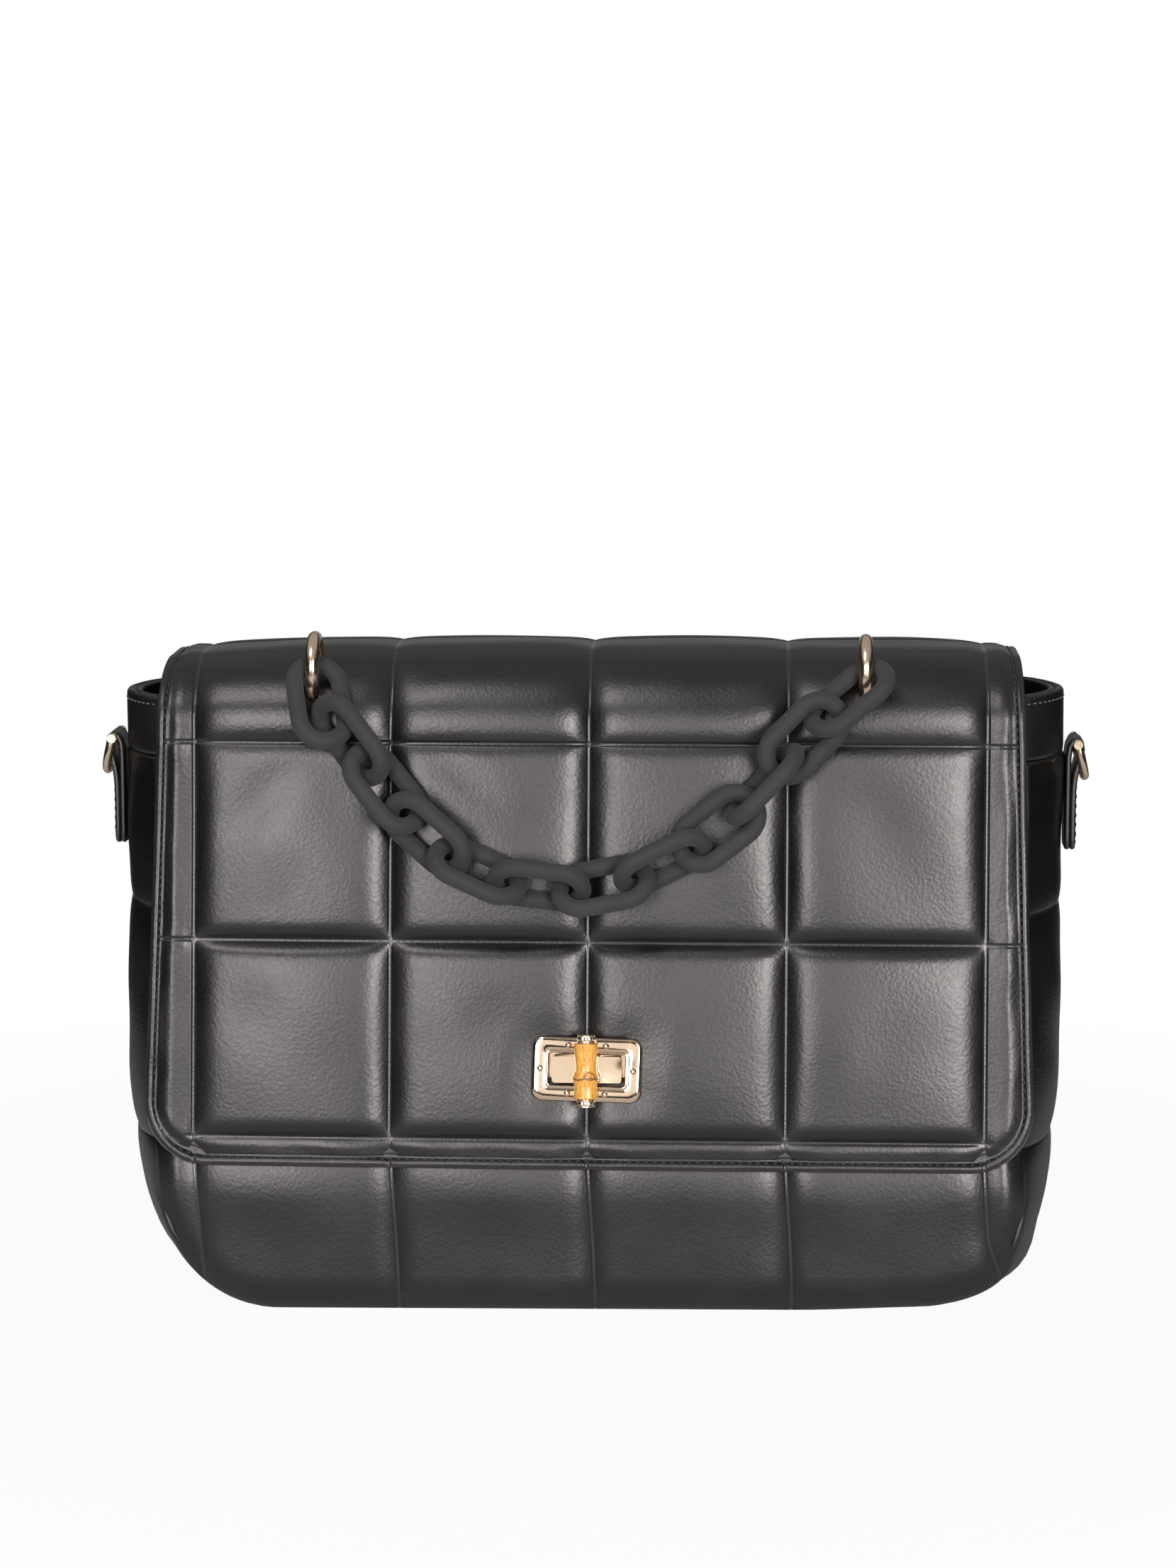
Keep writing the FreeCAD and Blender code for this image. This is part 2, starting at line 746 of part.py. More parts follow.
# Flap channels: columns that follow its whole length, and rows up the front and on the crest
column_end = (back_face(lining_end_z, flap_back_out), lining_end_z)
column_foot = (back_face(lining_end_z, flap_back_out - size.channel_depth), lining_end_z)
column_outside = flap_face(-size.cover_thick, column_end)
column_inside = flap_face(size.channel_depth, column_foot)
column_corners = column_outside + walked_back(column_inside)
flap_columns = []
for i, x in enumerate(quilt_columns):
    flap_columns.append(prism(f"FlapColumn{i}", "YZ_Plane", column_corners, size.channel_width))
    flap_columns[-1].setExpression("Placement.Base.x", x.formula)
flap_rows = []
for i in range(3):
    row = size.flap_foot_height + size.flap_first_row + size.quilt_pitch * tilt_cos * i
    low, high = row - half_channel, row + half_channel
    bottom, past = flap_out - size.channel_depth, flap_out + size.overrun
    row_corners = [
        (front_face(low, past), low), (front_face(low, bottom), low),
        (front_face(high, bottom), high), (front_face(high, past), high),
    ]
    flap_rows.append(prism(f"FlapRow{i}", "YZ_Plane", row_corners, size.bag_width))
crest_row = back_centre_y - half_channel
flap_rows.append(block(
    "CrestRow", (-half_width, crest_row - half_channel, crest_height - size.channel_depth),
    (half_width, crest_row + half_channel, crest_height + size.overrun)))
for name, channels in (("FlapColumns", flap_columns), ("FlapRows", flap_rows)):
    cover = cut(name + "Quilted", cover, group(name, channels))
subpart(cut("Flap", cover, flap_tools), "flap")
flap_inside = common("FlapInside", flap_lining_strip, flap_outline)
subpart(cut("FlapLining", flap_inside, flap_tools), "flap_lining")


# Lock frame, its back plate under the flap, and the rivets that clamp the flap between them
def lock_plate(name, half_wide, half_tall, corner, thick):
    body = new_body(name)
    sketch = new_sketch(body, name + "Outline", "XY_Plane")
    draw(sketch, rounded_box(half_wide, half_tall, corner))
    draw(sketch, rounded_box(size.window_width / 2, size.window_height / 2, size.window_corner_radius))
    for a, b in rivet_spots:
        draw_circle(sketch, a, b, rivet_hole)
    plate = pad(body, sketch, thick)
    return body, plate


frame, frame_pad = lock_plate(
    "LockFrame", size.frame_width / 2, size.frame_height / 2, size.frame_corner_radius, size.frame_thick)
doc.recompute()
top_edges = [
    f"Edge{i}" for i, edge in enumerate(frame_pad.Shape.Edges, start=1)
    if edge.BoundBox.ZMin > size.frame_thick.value / 2 and not edge.isClosed()
]
bevel = frame.newObject("PartDesign::Chamfer", "LockFrameBevel")
bevel.Base = (frame_pad, top_edges)
bevel.setExpression("Size", size.frame_bevel.formula)
frame.Placement = frame_place
subpart(frame, "lock_frame")

under_plate, under_plate_pad = lock_plate(
    "LockBackPlate", size.frame_width / 2 - size.plate_margin, size.frame_height / 2 - size.plate_margin,
    size.frame_corner_radius - size.plate_margin, size.plate_thick)
under_plate.Placement = moved(frame_place, zero, zero, -lining_depth - size.plate_thick)
subpart(under_plate, "lock_back_plate")

rivet_foot = -lining_depth - size.plate_thick
head_base = size.frame_thick
head_radius = (
    (size.rivet_head_radius * size.rivet_head_radius + size.rivet_head_rise * size.rivet_head_rise)
    / (size.rivet_head_rise * 2))
rivets = []
for i, (across, up) in enumerate(rivet_spots):
    rivet = turned(f"Rivet{i}", [
        (zero, rivet_foot), (size.rivet_shank_radius, rivet_foot), (size.rivet_shank_radius, head_base),
        (size.rivet_head_radius, head_base, head_radius), (zero, head_base + size.rivet_head_rise),
    ])
    rivet.Placement = moved(frame_place, across, up, zero)
    rivets.append(rivet)
subpart(group("LockRivets", rivets), "lock_rivets")

# Lock base: a foot on the front panel, a block that fills the window, and two legs
base = new_body("LockBase")
foot_sketch = new_sketch(base, "LockFoot", "XY_Plane")
draw(foot_sketch, rounded_box(
    size.block_width / 2 + size.foot_margin, size.block_height / 2 + size.foot_margin,
    size.block_corner_radius + size.foot_margin))
pad(base, foot_sketch, size.foot_thick)
block_sketch = new_sketch(base, "LockBlock", "XY_Plane")
draw(block_sketch, rounded_box(size.block_width / 2, size.block_height / 2, size.block_corner_radius))
block_top = flap_out + size.block_rise
pad(base, block_sketch, block_top)
leg_sketch = new_sketch(base, "LockLegs", "XY_Plane")
for across, up in leg_spots:
    draw_circle(leg_sketch, across, up, size.leg_radius)
pad(base, leg_sketch, leg_length, reverse=True)
base.Placement = at_lock(zero)
socket = rod("SpindleSocket", size.spindle_radius + size.spindle_slack, size.overrun)
socket.Placement = at_lock(size.spindle_floor)
subpart(cut("LockBaseBored", base, socket), "lock_base")

washer = new_body("LockWasher")
washer_sketch = new_sketch(washer, "LockWasherOutline", "XY_Plane")
draw(washer_sketch, rounded_box(
    size.block_width / 2 + size.foot_margin, size.block_height / 2 + size.foot_margin,
    size.block_corner_radius))
for across, up in leg_spots:
    draw_circle(washer_sketch, across, up, size.leg_radius + size.leg_slack)
pad(washer, washer_sketch, size.washer_thick)
washer.Placement = at_lock(-size.panel_thick - size.lining_thick - size.washer_thick)
subpart(washer, "lock_washer")

# Turn bar: a bamboo-shaped bar between two caps, carried by a spindle in the lock base
bar_out = block_top + size.bar_lift + size.bar_knot_radius
spindle_start = size.spindle_floor + size.spindle_end_gap
spindle = rod("Spindle", size.spindle_radius, bar_out - spindle_start)
spindle.Placement = at_lock(spindle_start)
subpart(spindle, "lock_spindle")

bar_half = size.bar_length / 2 - size.cap_height
knot = size.bar_knot_height / 2
knot_low = -knot * 2
knot_high = knot_low + size.bar_knot_height


# Bend radius of a run that sinks by a depth over a length
def hollow(length, depth):
    return (length * length / 4 + depth * depth) / (depth * 2)


bar_dip = size.bar_radius - size.bar_waist_radius
bar = turned("TurnBarBlank", [
    (zero, -bar_half), (size.bar_waist_radius, -bar_half), (size.bar_waist_radius, knot_low - knot),
    (size.bar_radius, knot_low), (size.bar_knot_radius, knot_low + knot), (size.bar_radius, knot_high),
    (size.bar_waist_radius, knot_high + knot, -hollow(bar_half - knot_high - knot, bar_dip)),
    (size.bar_radius, bar_half), (zero, bar_half),
])
# The bar stands upright: its own turning axis lies along the slope of the flap
upright = FreeCAD.Placement(FreeCAD.Vector(), FreeCAD.Rotation(X_AXIS, -90))
bar.Placement = at_lock(bar_out) * upright
subpart(cut("TurnBar", bar, spindle), "turn_bar")
for label, sign in (("bar_cap_top", 1), ("bar_cap_bottom", -1)):
    cap = turned(label, [
        (zero, bar_half), (size.cap_collar_radius, bar_half),
        (size.cap_collar_radius, bar_half + size.cap_collar_height),
        (size.cap_radius, bar_half + size.cap_collar_height),
        (size.cap_radius, bar_half + size.cap_height), (zero, bar_half + size.cap_height),
    ])
    flip = FreeCAD.Placement(FreeCAD.Vector(), FreeCAD.Rotation(X_AXIS, 90 - sign * 90))
    cap.Placement = at_lock(bar_out) * upright * flip
    subpart(cap, label)

# Side tabs: a strip folded round the bar of the strap ring and sewn flat on the gusset
eye_bore = size.strap_ring_wire_radius + size.tab_eye_slack
eye_radius = eye_bore + size.tab_layer
eye_out = half_width + eye_radius
eye_height = size.rim_height - size.tab_eye_drop
tab_foot = eye_height - size.tab_length
for side, sign in (("left", -1), ("right", 1)):
    tab = new_body(f"SideTab{side}")
    strip_sketch = new_sketch(tab, f"TabStrip{side}", "XZ_Plane")
    near, far = half_width * sign, (half_width + size.tab_layer * 2) * sign
    strip_corners = [
        (near, tab_foot), (far, tab_foot),
        (far, eye_height), (near, eye_height),
    ]
    draw(strip_sketch, strip_corners)
    pad(tab, strip_sketch, size.tab_width, "Symmetric")
    eye_sketch = new_sketch(tab, f"TabEye{side}", "XZ_Plane")
    draw_circle(eye_sketch, eye_out * sign, eye_height, eye_radius)
    pad(tab, eye_sketch, size.tab_width, "Symmetric")
    bore_sketch = new_sketch(tab, f"TabBore{side}", "XZ_Plane")
    draw_circle(bore_sketch, eye_out * sign, eye_height, eye_bore)
    bore = tab.newObject("PartDesign::Pocket", f"TabBorePocket{side}")
    bore.Profile = bore_sketch
    bore.SideType = "Symmetric"
    bore.setExpression("Length", (size.tab_width * 2).formula)
    subpart(tab, f"side_tab_{side}")

    ring = new_body(f"StrapRing{side}")
    wide, leg = size.strap_ring_half_width, size.strap_ring_leg
    bow = new_sketch(ring, f"RingBow{side}", "YZ_Plane")
    draw(bow, [(-wide, zero), (-wide, -leg, wide), (zero, -leg - wide, wide), (wide, -leg), (wide, zero)],
         closed=False)
    wire = new_sketch(ring, f"RingWire{side}", "XY_Plane")
    draw_circle(wire, zero, -wide, size.strap_ring_wire_radius)
    pipe = ring.newObject("PartDesign::AdditivePipe", f"RingPipe{side}")
    pipe.Profile = wire
    pipe.Spine = (bow, [])
    bar_sketch = new_sketch(ring, f"RingBar{side}", "XZ_Plane")
    draw_circle(bar_sketch, zero, zero, size.strap_ring_wire_radius)
    pad(ring, bar_sketch, (wide + size.strap_ring_wire_radius) * 2, "Symmetric")
    lean = FreeCAD.Rotation(FreeCAD.Vector(0, 1, 0), -sign * size.strap_ring_rest_angle.value)
    eye = FreeCAD.Vector(eye_out.value * sign, 0, eye_height.value)
    ring.Placement = FreeCAD.Placement(eye, lean)
    subpart(ring, f"strap_ring_{side}")

# Every object has to be sound before anything is written
doc.recompute()
for thing in doc.Objects:
    if "Invalid" in thing.State or "Error" in thing.State:
        raise RuntimeError(f"{thing.Label} failed: {thing.State}")
for thing in nodes:
    if thing.Shape.isNull() or not thing.Shape.isValid():
        raise RuntimeError(f"{thing.Label} has no sound shape")
os.makedirs("parts", exist_ok=True)
for thing in nodes:
    thing.Shape.exportStep(f"parts/{thing.Label}.step")

# Joint axes, in millimetres
print("flap fold y, z:", round(fold_y.value, 3), round(fold_z.value, 3))
print("ring centre x, y, z:", size.ring_across.value, round(ring_y.value, 3), round(ring_z.value, 3))
print("ring seat:", ring_seat())
print("lock face:", at_lock(zero).Base, "axis:", flap_normal)
print("strap ring eye x, z:", round(eye_out.value, 3), eye_height.value)
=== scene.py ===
import math
import bpy
import numpy as np
from mathutils import Matrix, Vector


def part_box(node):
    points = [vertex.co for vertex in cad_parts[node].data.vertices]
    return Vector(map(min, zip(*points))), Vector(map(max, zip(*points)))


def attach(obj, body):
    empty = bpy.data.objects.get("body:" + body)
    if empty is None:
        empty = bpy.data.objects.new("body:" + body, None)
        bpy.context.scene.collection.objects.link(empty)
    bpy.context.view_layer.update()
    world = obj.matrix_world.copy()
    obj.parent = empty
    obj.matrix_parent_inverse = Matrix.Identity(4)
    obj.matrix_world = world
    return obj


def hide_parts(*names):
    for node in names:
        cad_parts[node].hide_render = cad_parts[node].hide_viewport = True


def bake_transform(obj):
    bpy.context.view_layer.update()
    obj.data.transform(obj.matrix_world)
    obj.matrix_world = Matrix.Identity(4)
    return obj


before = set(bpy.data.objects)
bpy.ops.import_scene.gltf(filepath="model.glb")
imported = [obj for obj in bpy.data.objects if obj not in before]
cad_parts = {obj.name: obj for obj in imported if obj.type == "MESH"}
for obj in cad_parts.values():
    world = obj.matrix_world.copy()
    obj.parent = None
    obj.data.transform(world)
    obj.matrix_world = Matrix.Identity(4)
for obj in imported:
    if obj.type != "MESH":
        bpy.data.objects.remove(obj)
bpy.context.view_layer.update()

# Studio: a pale floor under the bag and a white room round it, with four soft boxes before the bag and
# above it. The camera sees both as white, the floor keeps the bag's shadow, and polish mirrors a dim room.
MM = 0.001


class Tone:
    """A socket of a shader tree. Sums on it add Math nodes."""

    def __init__(self, tree, socket=None):
        self.tree = tree
        self.socket = socket

    def add(self, kind, settings, values, output=0):
        node = self.tree.nodes.new("ShaderNode" + kind)
        for key, value in settings.items():
            if key == "stops":
                ramp = node.color_ramp.elements
                while len(ramp) < len(value):
                    ramp.new(1)
                for stop, (place, colour) in zip(ramp, value):
                    stop.position = place
                    stop.color = colour
            else:
                setattr(node, key, value)
        for key, value in values.items():
            if isinstance(value, Tone):
                self.tree.links.new(value.socket, node.inputs[key])
            else:
                node.inputs[key].default_value = value
        return Tone(self.tree, node.outputs[output] if node.outputs else None)

    def sum(self, operation, *items):
        return self.add("Math", {"operation": operation}, dict(enumerate(items)))

    def __add__(self, other):
        return self.sum("ADD", self, other)

    def __sub__(self, other):
        return self.sum("SUBTRACT", self, other)

    def __mul__(self, other):
        return self.sum("MULTIPLY", self, other)

    def __rsub__(self, other):
        return self.sum("SUBTRACT", other, self)

    __radd__ = __add__
    __rmul__ = __mul__


def mixed(share, first, second):
    return share.add("Mix", {"data_type": "RGBA"}, {0: share, 6: first, 7: second}, 2)


def eased(tone, low, high):
    settings = {"interpolation_type": "SMOOTHSTEP"}
    return tone.add("MapRange", settings, {"Value": tone, "From Min": low, "From Max": high})


def light_path(tree):
    desk = Tone(tree)
    rays = ("Camera", "Glossy", "Transmission")
    return {ray: desk.add("LightPath", {}, {}, f"Is {ray} Ray") for ray in rays}


white = (1, 1, 1, 1)
paper_white = (0.9, 0.9, 0.9, 1)
floor_radius = 0.55
floor_corners = 128
shadow_share = 0.05
shadow_near, shadow_far = 0.24, 0.52
floor_turns = [2 * math.pi * i / floor_corners for i in range(floor_corners)]
floor_rim = [(floor_radius * math.cos(turn), floor_radius * math.sin(turn), 0) for turn in floor_turns]
floor_mesh = bpy.data.meshes.new("floor")
floor_mesh.from_pydata(floor_rim, [], [range(floor_corners)])
floor = bpy.data.objects.new("floor", floor_mesh)
bpy.context.collection.objects.link(floor)
floor_paper = bpy.data.materials.new("floor_paper")
floor_paper.use_nodes = True
floor_tree = floor_paper.node_tree
floor_tree.nodes.clear()
seen = light_path(floor_tree)["Camera"]
paper = seen.add("BsdfDiffuse", {}, {"Color": paper_white})
glow = seen.add("Emission", {}, {"Color": white, "Strength": 1})
place = seen.add("TexCoord", {}, {}, "Object")
reach = seen.add("VectorMath", {"operation": "LENGTH"}, {0: place}, "Value")
pale = eased(reach, shadow_near, shadow_far) * shadow_share + (1 - shadow_share)
surface = seen.add("MixShader", {}, {0: seen * pale, 1: paper, 2: glow})
seen.add("OutputMaterial", {}, {"Surface": surface})
floor_mesh.materials.append(floor_paper)

wall_glow, ceiling_glow, dim_glow, room_fill = 0.34, 0.33, 0.01, 0.08
room = bpy.data.worlds.new("room")
bpy.context.scene.world = room
room.use_nodes = True
room.node_tree.nodes.clear()
rays = light_path(room.node_tree)
toward = rays["Camera"].add("TexCoord", {}, {}, "Generated")
behind = eased(toward.add("SeparateXYZ", {}, {0: toward}, "Y"), 0.86, 0.98)
above = eased(toward.add("SeparateXYZ", {}, {0: toward}, "Z"), 0.25, 0.7)
mirrored_room = toward.sum("MAXIMUM", behind * wall_glow, above * ceiling_glow) + dim_glow
plain = 1 - rays["Camera"] - rays["Glossy"] - rays["Transmission"]
strength = rays["Camera"] + (rays["Glossy"] + rays["Transmission"]) * mirrored_room + plain * room_fill
backdrop = strength.add("Background", {}, {"Color": white, "Strength": strength})
strength.add("OutputWorld", {}, {"Surface": backdrop})
room.cycles.sampling_method = "NONE"

bag_middle = Vector((0, 0, 0.11))
for label, place, wide, tall, watts in (
    ("left_box", (-0.58, -1.88, 0.46), 0.6, 0.9, 13.5),
    ("right_box", (0.74, -1.82, 0.46), 0.6, 0.9, 23),
    ("front_box", (0, -2.7, 0.3), 1.2, 0.7, 2.4),
    ("high_box", (-0.6, -1.03, 1.58), 0.8, 0.6, 8),
):
    lamp = bpy.data.lights.new(label, "AREA")
    lamp.shape = "RECTANGLE"
    lamp.size, lamp.size_y, lamp.energy = wide, tall, watts
    box = bpy.data.objects.new(label, lamp)
    box.location = place
    box.rotation_euler = (bag_middle - box.location).to_track_quat("-Z", "Y").to_euler()
    bpy.context.collection.objects.link(box)

# Camera: a long lens before the bag, a little above it and to its right, as the photograph was taken.
# Its focal length is in pixels of that upright picture.
photo_tall = 2212
focal_pixels = 5497
camera_rise = math.radians(9)
camera_side = math.radians(2.6)
camera_distance = 1.311
camera_aim = Vector((-0.0019, 0, 0.1704))
lens = bpy.data.cameras.new("photo_camera")
lens.sensor_width = 36
lens.lens = lens.sensor_width * focal_pixels / photo_tall
camera = bpy.data.objects.new("photo_camera", lens)
camera_way = Vector((math.sin(camera_side), -math.cos(camera_side), math.tan(camera_rise))).normalized()
camera.location = camera_aim + camera_distance * camera_way
camera.rotation_euler = (camera_aim - camera.location).to_track_quat("-Z", "Y").to_euler()
bpy.context.collection.objects.link(camera)
bpy.context.scene.camera = camera
bpy.context.scene.view_settings.view_transform = "Standard"

# Front and back panel: black synthetic leather on foam, with pressed channels that run upright and
# across. Their edges are turned in and sewn to the gussets and the base.
tilt = math.radians(7.7)
rise, lean, slope = math.cos(tilt), math.sin(tilt), math.tan(tilt)
base_half_depth = 55
seam_top = 183.5
pitch = 65
columns = [pitch * i for i in (-2, -1, 0, 1, 2)]
panel_rows = [60, 125]
channel_half = 0.42
channel_lip = 0.75
swell_near, swell_far = 10.5, 37
lip_share, crown_share = 0.12, 0.42
row_near, row_crown = 6.6, 0.24
close_steps = (0, 0.4, 0.55, 0.74, 1.1, 1.7, 2.5, 3.5, 4.7, 6.2, 8.2, 11, 14, 19)
edge_steps = (0, 0.12, 0.4, 0.8, 1.3, 1.9, 2.5, 3.0, 3.4, 3.9, 4.8, 6.2, 8.4, 12, 17)


def face_y(z):
    return base_half_depth - z * slope


def smooth(low, high, value):
    share = np.clip((value - low) / (high - low), 0, 1)
    return share * share * (3 - 2 * share)


def sample_lines(low, high, channels, exact=(), coarse=4.5):
    """Places for grid lines: close together at the edges and beside channels, coarse elsewhere."""
    spots = [(place, 0) for place in exact]
    spots += [(low + step, 1) for step in edge_steps] + [(high - step, 1) for step in edge_steps]
    spots += [(place + side * step, 2) for place in channels for step in close_steps for side in (-1, 1)]
    spots += [(place, 3) for place in np.arange(low, high, coarse)]
    least_gaps = (0.05, 0.09, 0.3, 2.2)
    kept = []
    for place, rank in sorted(spots, key=lambda spot: spot[1]):
        if low <= place <= high and all(abs(place - other) >= least_gaps[rank] for other in kept):
            kept.append(place)
    return np.array(sorted(kept))


def pillow(distance, near=swell_near, crown=crown_share):
    """0 in a channel, a low lip beside it, a short steep rise and then the foam's slow crown up to 1."""
    lip = lip_share * smooth(channel_half, channel_lip, distance)
    beyond = np.maximum(distance - channel_lip, 0)
    rise_near, rise_far = (1 - np.clip(1 - beyond / reach, 0, 1) ** 3 for reach in (near, swell_far))
    return lip + (1 - lip_share - crown) * rise_near + crown * rise_far


def rounded(distance, radius):
    """0 at an edge and 1 from a radius inward, along a quarter circle."""
    return np.sqrt(np.clip(1 - (np.clip(radius - distance, 0, None) / radius) ** 2, 0, 1))


def hump(distance, reach):
    return np.exp(-((distance / reach) ** 2))


def to_nearest(value, places):
    return np.min([np.abs(value - place) for place in places], axis=0)


def edge_distance(across, along, outline):
    """Distance of each place from a run of outline points."""
    spots = np.stack([across, along], -1).reshape(-1, 1, 2)
    start, step = outline[:-1], np.diff(outline, axis=0)
    share = ((spots - start) * step).sum(-1) / (step**2).sum(-1)
    foot = start + np.clip(share, 0, 1)[..., None] * step
    return np.sqrt(((spots - foot) ** 2).sum(-1).min(1)).reshape(across.shape)


def half_chord(radius, offset):
    return np.sqrt(np.maximum(radius**2 - offset**2, 0))


def arc(centre, radius, first, last, count=24):
    turn = np.radians(np.linspace(first, last, count))
    return np.stack([centre[0] + radius * np.cos(turn), centre[1] + radius * np.sin(turn)], -1)


def unevenness(across, along, size, depth, seed):
    """Slow unevenness of hand-filled leather: a few crossed waves."""
    draw = np.random.default_rng(seed)
    total = np.zeros_like(across)
    for _ in range(7):
        heading, phase = draw.uniform(0, 2 * math.pi, 2).tolist()
        reach = draw.uniform(0.7, 1.7) * size
        run = across * math.cos(heading) + along * math.sin(heading)
        total += np.sin(run * 2 * math.pi / reach + phase)
    return depth * total / 4


def mesh_piece(name, points, faces, pattern, marks=None):
    """An object from points in millimetres, with its flat pattern as UVs in metres."""
    faces = np.asarray(faces)
    used, faces = np.unique(faces, return_inverse=True)
    faces = faces.reshape(-1, 4)
    mesh = bpy.data.meshes.new(name)
    mesh.from_pydata((points[used] * MM).tolist(), [], faces.tolist())
    mesh.polygons.foreach_set("use_smooth", np.ones(len(faces), bool))
    layer = mesh.uv_layers.new(name="pattern")
    layer.data.foreach_set("uv", (pattern[used] * MM)[faces.ravel()].astype(np.float32).ravel())
    for label, values in (marks or {}).items():
        mark = mesh.attributes.new(label, "FLOAT", "POINT")
        mark.data.foreach_set("value", values[used].astype(np.float32))
    piece = bpy.data.objects.new(name, mesh)
    bpy.context.collection.objects.link(piece)
    return piece


def quads(index):
    return np.stack([index[:-1, :-1], index[:-1, 1:], index[1:, 1:], index[1:, :-1]], -1)


def shell(name, outer, inner, pattern, marks=None, hole=None, flip=False):
    """A closed skin from an outer and an inner grid that meet along their borders."""
    rows, across = outer.shape[:2]
    top = np.arange(rows * across).reshape(rows, across)
    under = top + rows * across
    for border in (np.s_[0, :], np.s_[-1, :], np.s_[:, 0], np.s_[:, -1]):
        under[border] = top[border]
    keep = np.ones((rows - 1, across - 1), bool)
    walls = []
    if hole:
        (low, high), (left, right) = hole
        keep[low:high, left:right] = False
        round_hole = [(low, i) for i in range(left, right)] + [(i, right) for i in range(low, high)]
        round_hole += [(high, i) for i in range(right, left, -1)]
        round_hole += [(i, left) for i in range(high, low - 1, -1)]
        for one, two in zip(round_hole, round_hole[1:]):
            walls.append((top[one], top[two], under[two], under[one]))
    walls = np.array(walls, int).reshape(-1, 4)
    faces = np.concatenate([quads(top)[keep], quads(under)[keep][:, ::-1], walls])
    if flip:
        faces = faces[:, ::-1]
    points = np.concatenate([outer.reshape(-1, 3), inner.reshape(-1, 3)])
    both = {}
    for label, values in (marks or {}).items():
        both[label] = np.concatenate([values.ravel(), np.zeros(values.size)])
    return mesh_piece(name, points, faces, np.concatenate([pattern.reshape(-1, 2)] * 2), both)


def fit(piece, material, body, slot, *nodes):
    """Dress a piece, hang it on a body, and hide the CAD nodes that it stands for. Its slot is not used."""
    piece.data.materials.append(material)
    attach(piece, body)
    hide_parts(*nodes)


def new_finish(name, constants, flat=False):
    """A new material, its shader, and the places its textures go by: the flat pattern's or the object's."""
    material = bpy.data.materials.new(name)
    material.use_nodes = True
    shader = material.node_tree.nodes["Principled BSDF"]
    for key, value in constants.items():
        shader.inputs[key].default_value = value
    desk = Tone(material.node_tree)
    if flat:
        return material, shader, desk.add("UVMap", {"uv_map": "pattern"}, {})
    return material, shader, desk.add("TexCoord", {}, {}, "Object")


def feed(shader, **tones):
    for key, tone in tones.items():
        tone.tree.links.new(tone.socket, shader.inputs[key.replace("_", " ")])


def noise(place, scale, detail, **more):
    return place.add("TexNoise", {}, {"Vector": place, "Scale": scale, "Detail": detail, **more})


def bumped(height, strength, distance):
    return height.add("Bump", {}, {"Height": height, "Strength": strength, "Distance": distance})


def leather(name, dark, light, roughness, grain):
    """Coated leather: fine pebble grain, slow mottling, rubbed edges, and pressed lines that are glossier and
    painted lighter as a highlight.
    """
    warm_sheen = {"Specular IOR Level": 0.8, "Specular Tint": (1, 0.948, 0.935, 1)}
    material, shader, place = new_finish(name, warm_sheen, flat=True)
    grains = {"Vector": place, "Scale": 950, "Smoothness": 0.6}
    pebbles = place.add("TexVoronoi", {"feature": "SMOOTH_F1"}, grains)
    creases = noise(place, 800, 3, Roughness=0.6)
    slow = noise(place, 38, 3)
    pressed = place.add("Attribute", {"attribute_name": "pressed"}, {}, "Fac")
    rubbed = place.add("Attribute", {"attribute_name": "rubbed"}, {}, "Fac")
    body = mixed(eased(slow, 0.3, 0.7), dark, light)
    # The pressed channels are painted a lighter grey than the leather: a painted highlight along each line.
    # Their lower roughness is real gloss.
    rubbed_brown, painted_channel_highlight = (0.06, 0.052, 0.048, 1), (0.024, 0.024, 0.025, 1)
    worn = mixed(eased(rubbed * (slow + 0.5), 0.15, 1.0), body, rubbed_brown)
    feed(shader, Base_Color=mixed(pressed * 0.8, worn, painted_channel_highlight))
    feed(shader, Roughness=roughness + (slow - 0.5) * 0.16 + (creases - 0.5) * 0.14 - pressed * 0.08)
    feed(shader, Normal=bumped(pebbles * 0.75 + creases * 0.4, grain, 0.00014))
    return material


quilted_leather = leather(
    "quilted_leather", (0.004, 0.0039, 0.0038, 1), (0.0065, 0.0063, 0.006, 1), roughness=0.34, grain=0.4)

panel_half = 141.5
panel_corner = (105, 41.5)
panel_corner_radius = 37
panel_foot = panel_corner[1] - panel_corner_radius
panel_tuck = 2.0
panel_edge = np.concatenate([
    [(0, panel_foot - panel_tuck)], arc(panel_corner, panel_corner_radius + panel_tuck, -90, 0),
    [(panel_half + panel_tuck, seam_top), (0, seam_top)],
])
panel_thick = 4
panel_depth, panel_proud = 3.2, 0.6
panel_roll = 2.6
panel_wave, panel_wave_depth = 42, 0.35
corner_fade = 62
side_calm, side_calm_places = 0.3, (100, 126)
belly, belly_top, belly_reach = 1.6, 46, 14
foot_recess, foot_recess_power = 4.5, 1.6
edge_dive, edge_dive_reach = 4.5, (-3, 9)
edge_wear = 0.12
foot_lean, foot_lean_heights = 2.5, (62, 8)
foot_lift, foot_lift_heights, foot_lift_half = 1.1, (60, 5), 130
corner_fill, corner_fill_places, corner_fill_heights = 4.6, (92, 128), (28, 7)
corner_lift, corner_lift_places, corner_lift_heights = 1.6, (65, 120), (40, 6)


def settled(x, z):
    """Where a place on the bag comes to rest: its foot leans right, and fills out and rises there."""
    aside = foot_lean * smooth(*foot_lean_heights, z)
    aside = aside + corner_fill * smooth(*corner_fill_places, x) * smooth(*corner_fill_heights, z)
    lift = foot_lift * np.clip(x / foot_lift_half, -1, 1) * smooth(*foot_lift_heights, z)
    lift = lift + corner_lift * smooth(*corner_lift_places, x) * smooth(*corner_lift_heights, z)
    return x + aside, z + lift


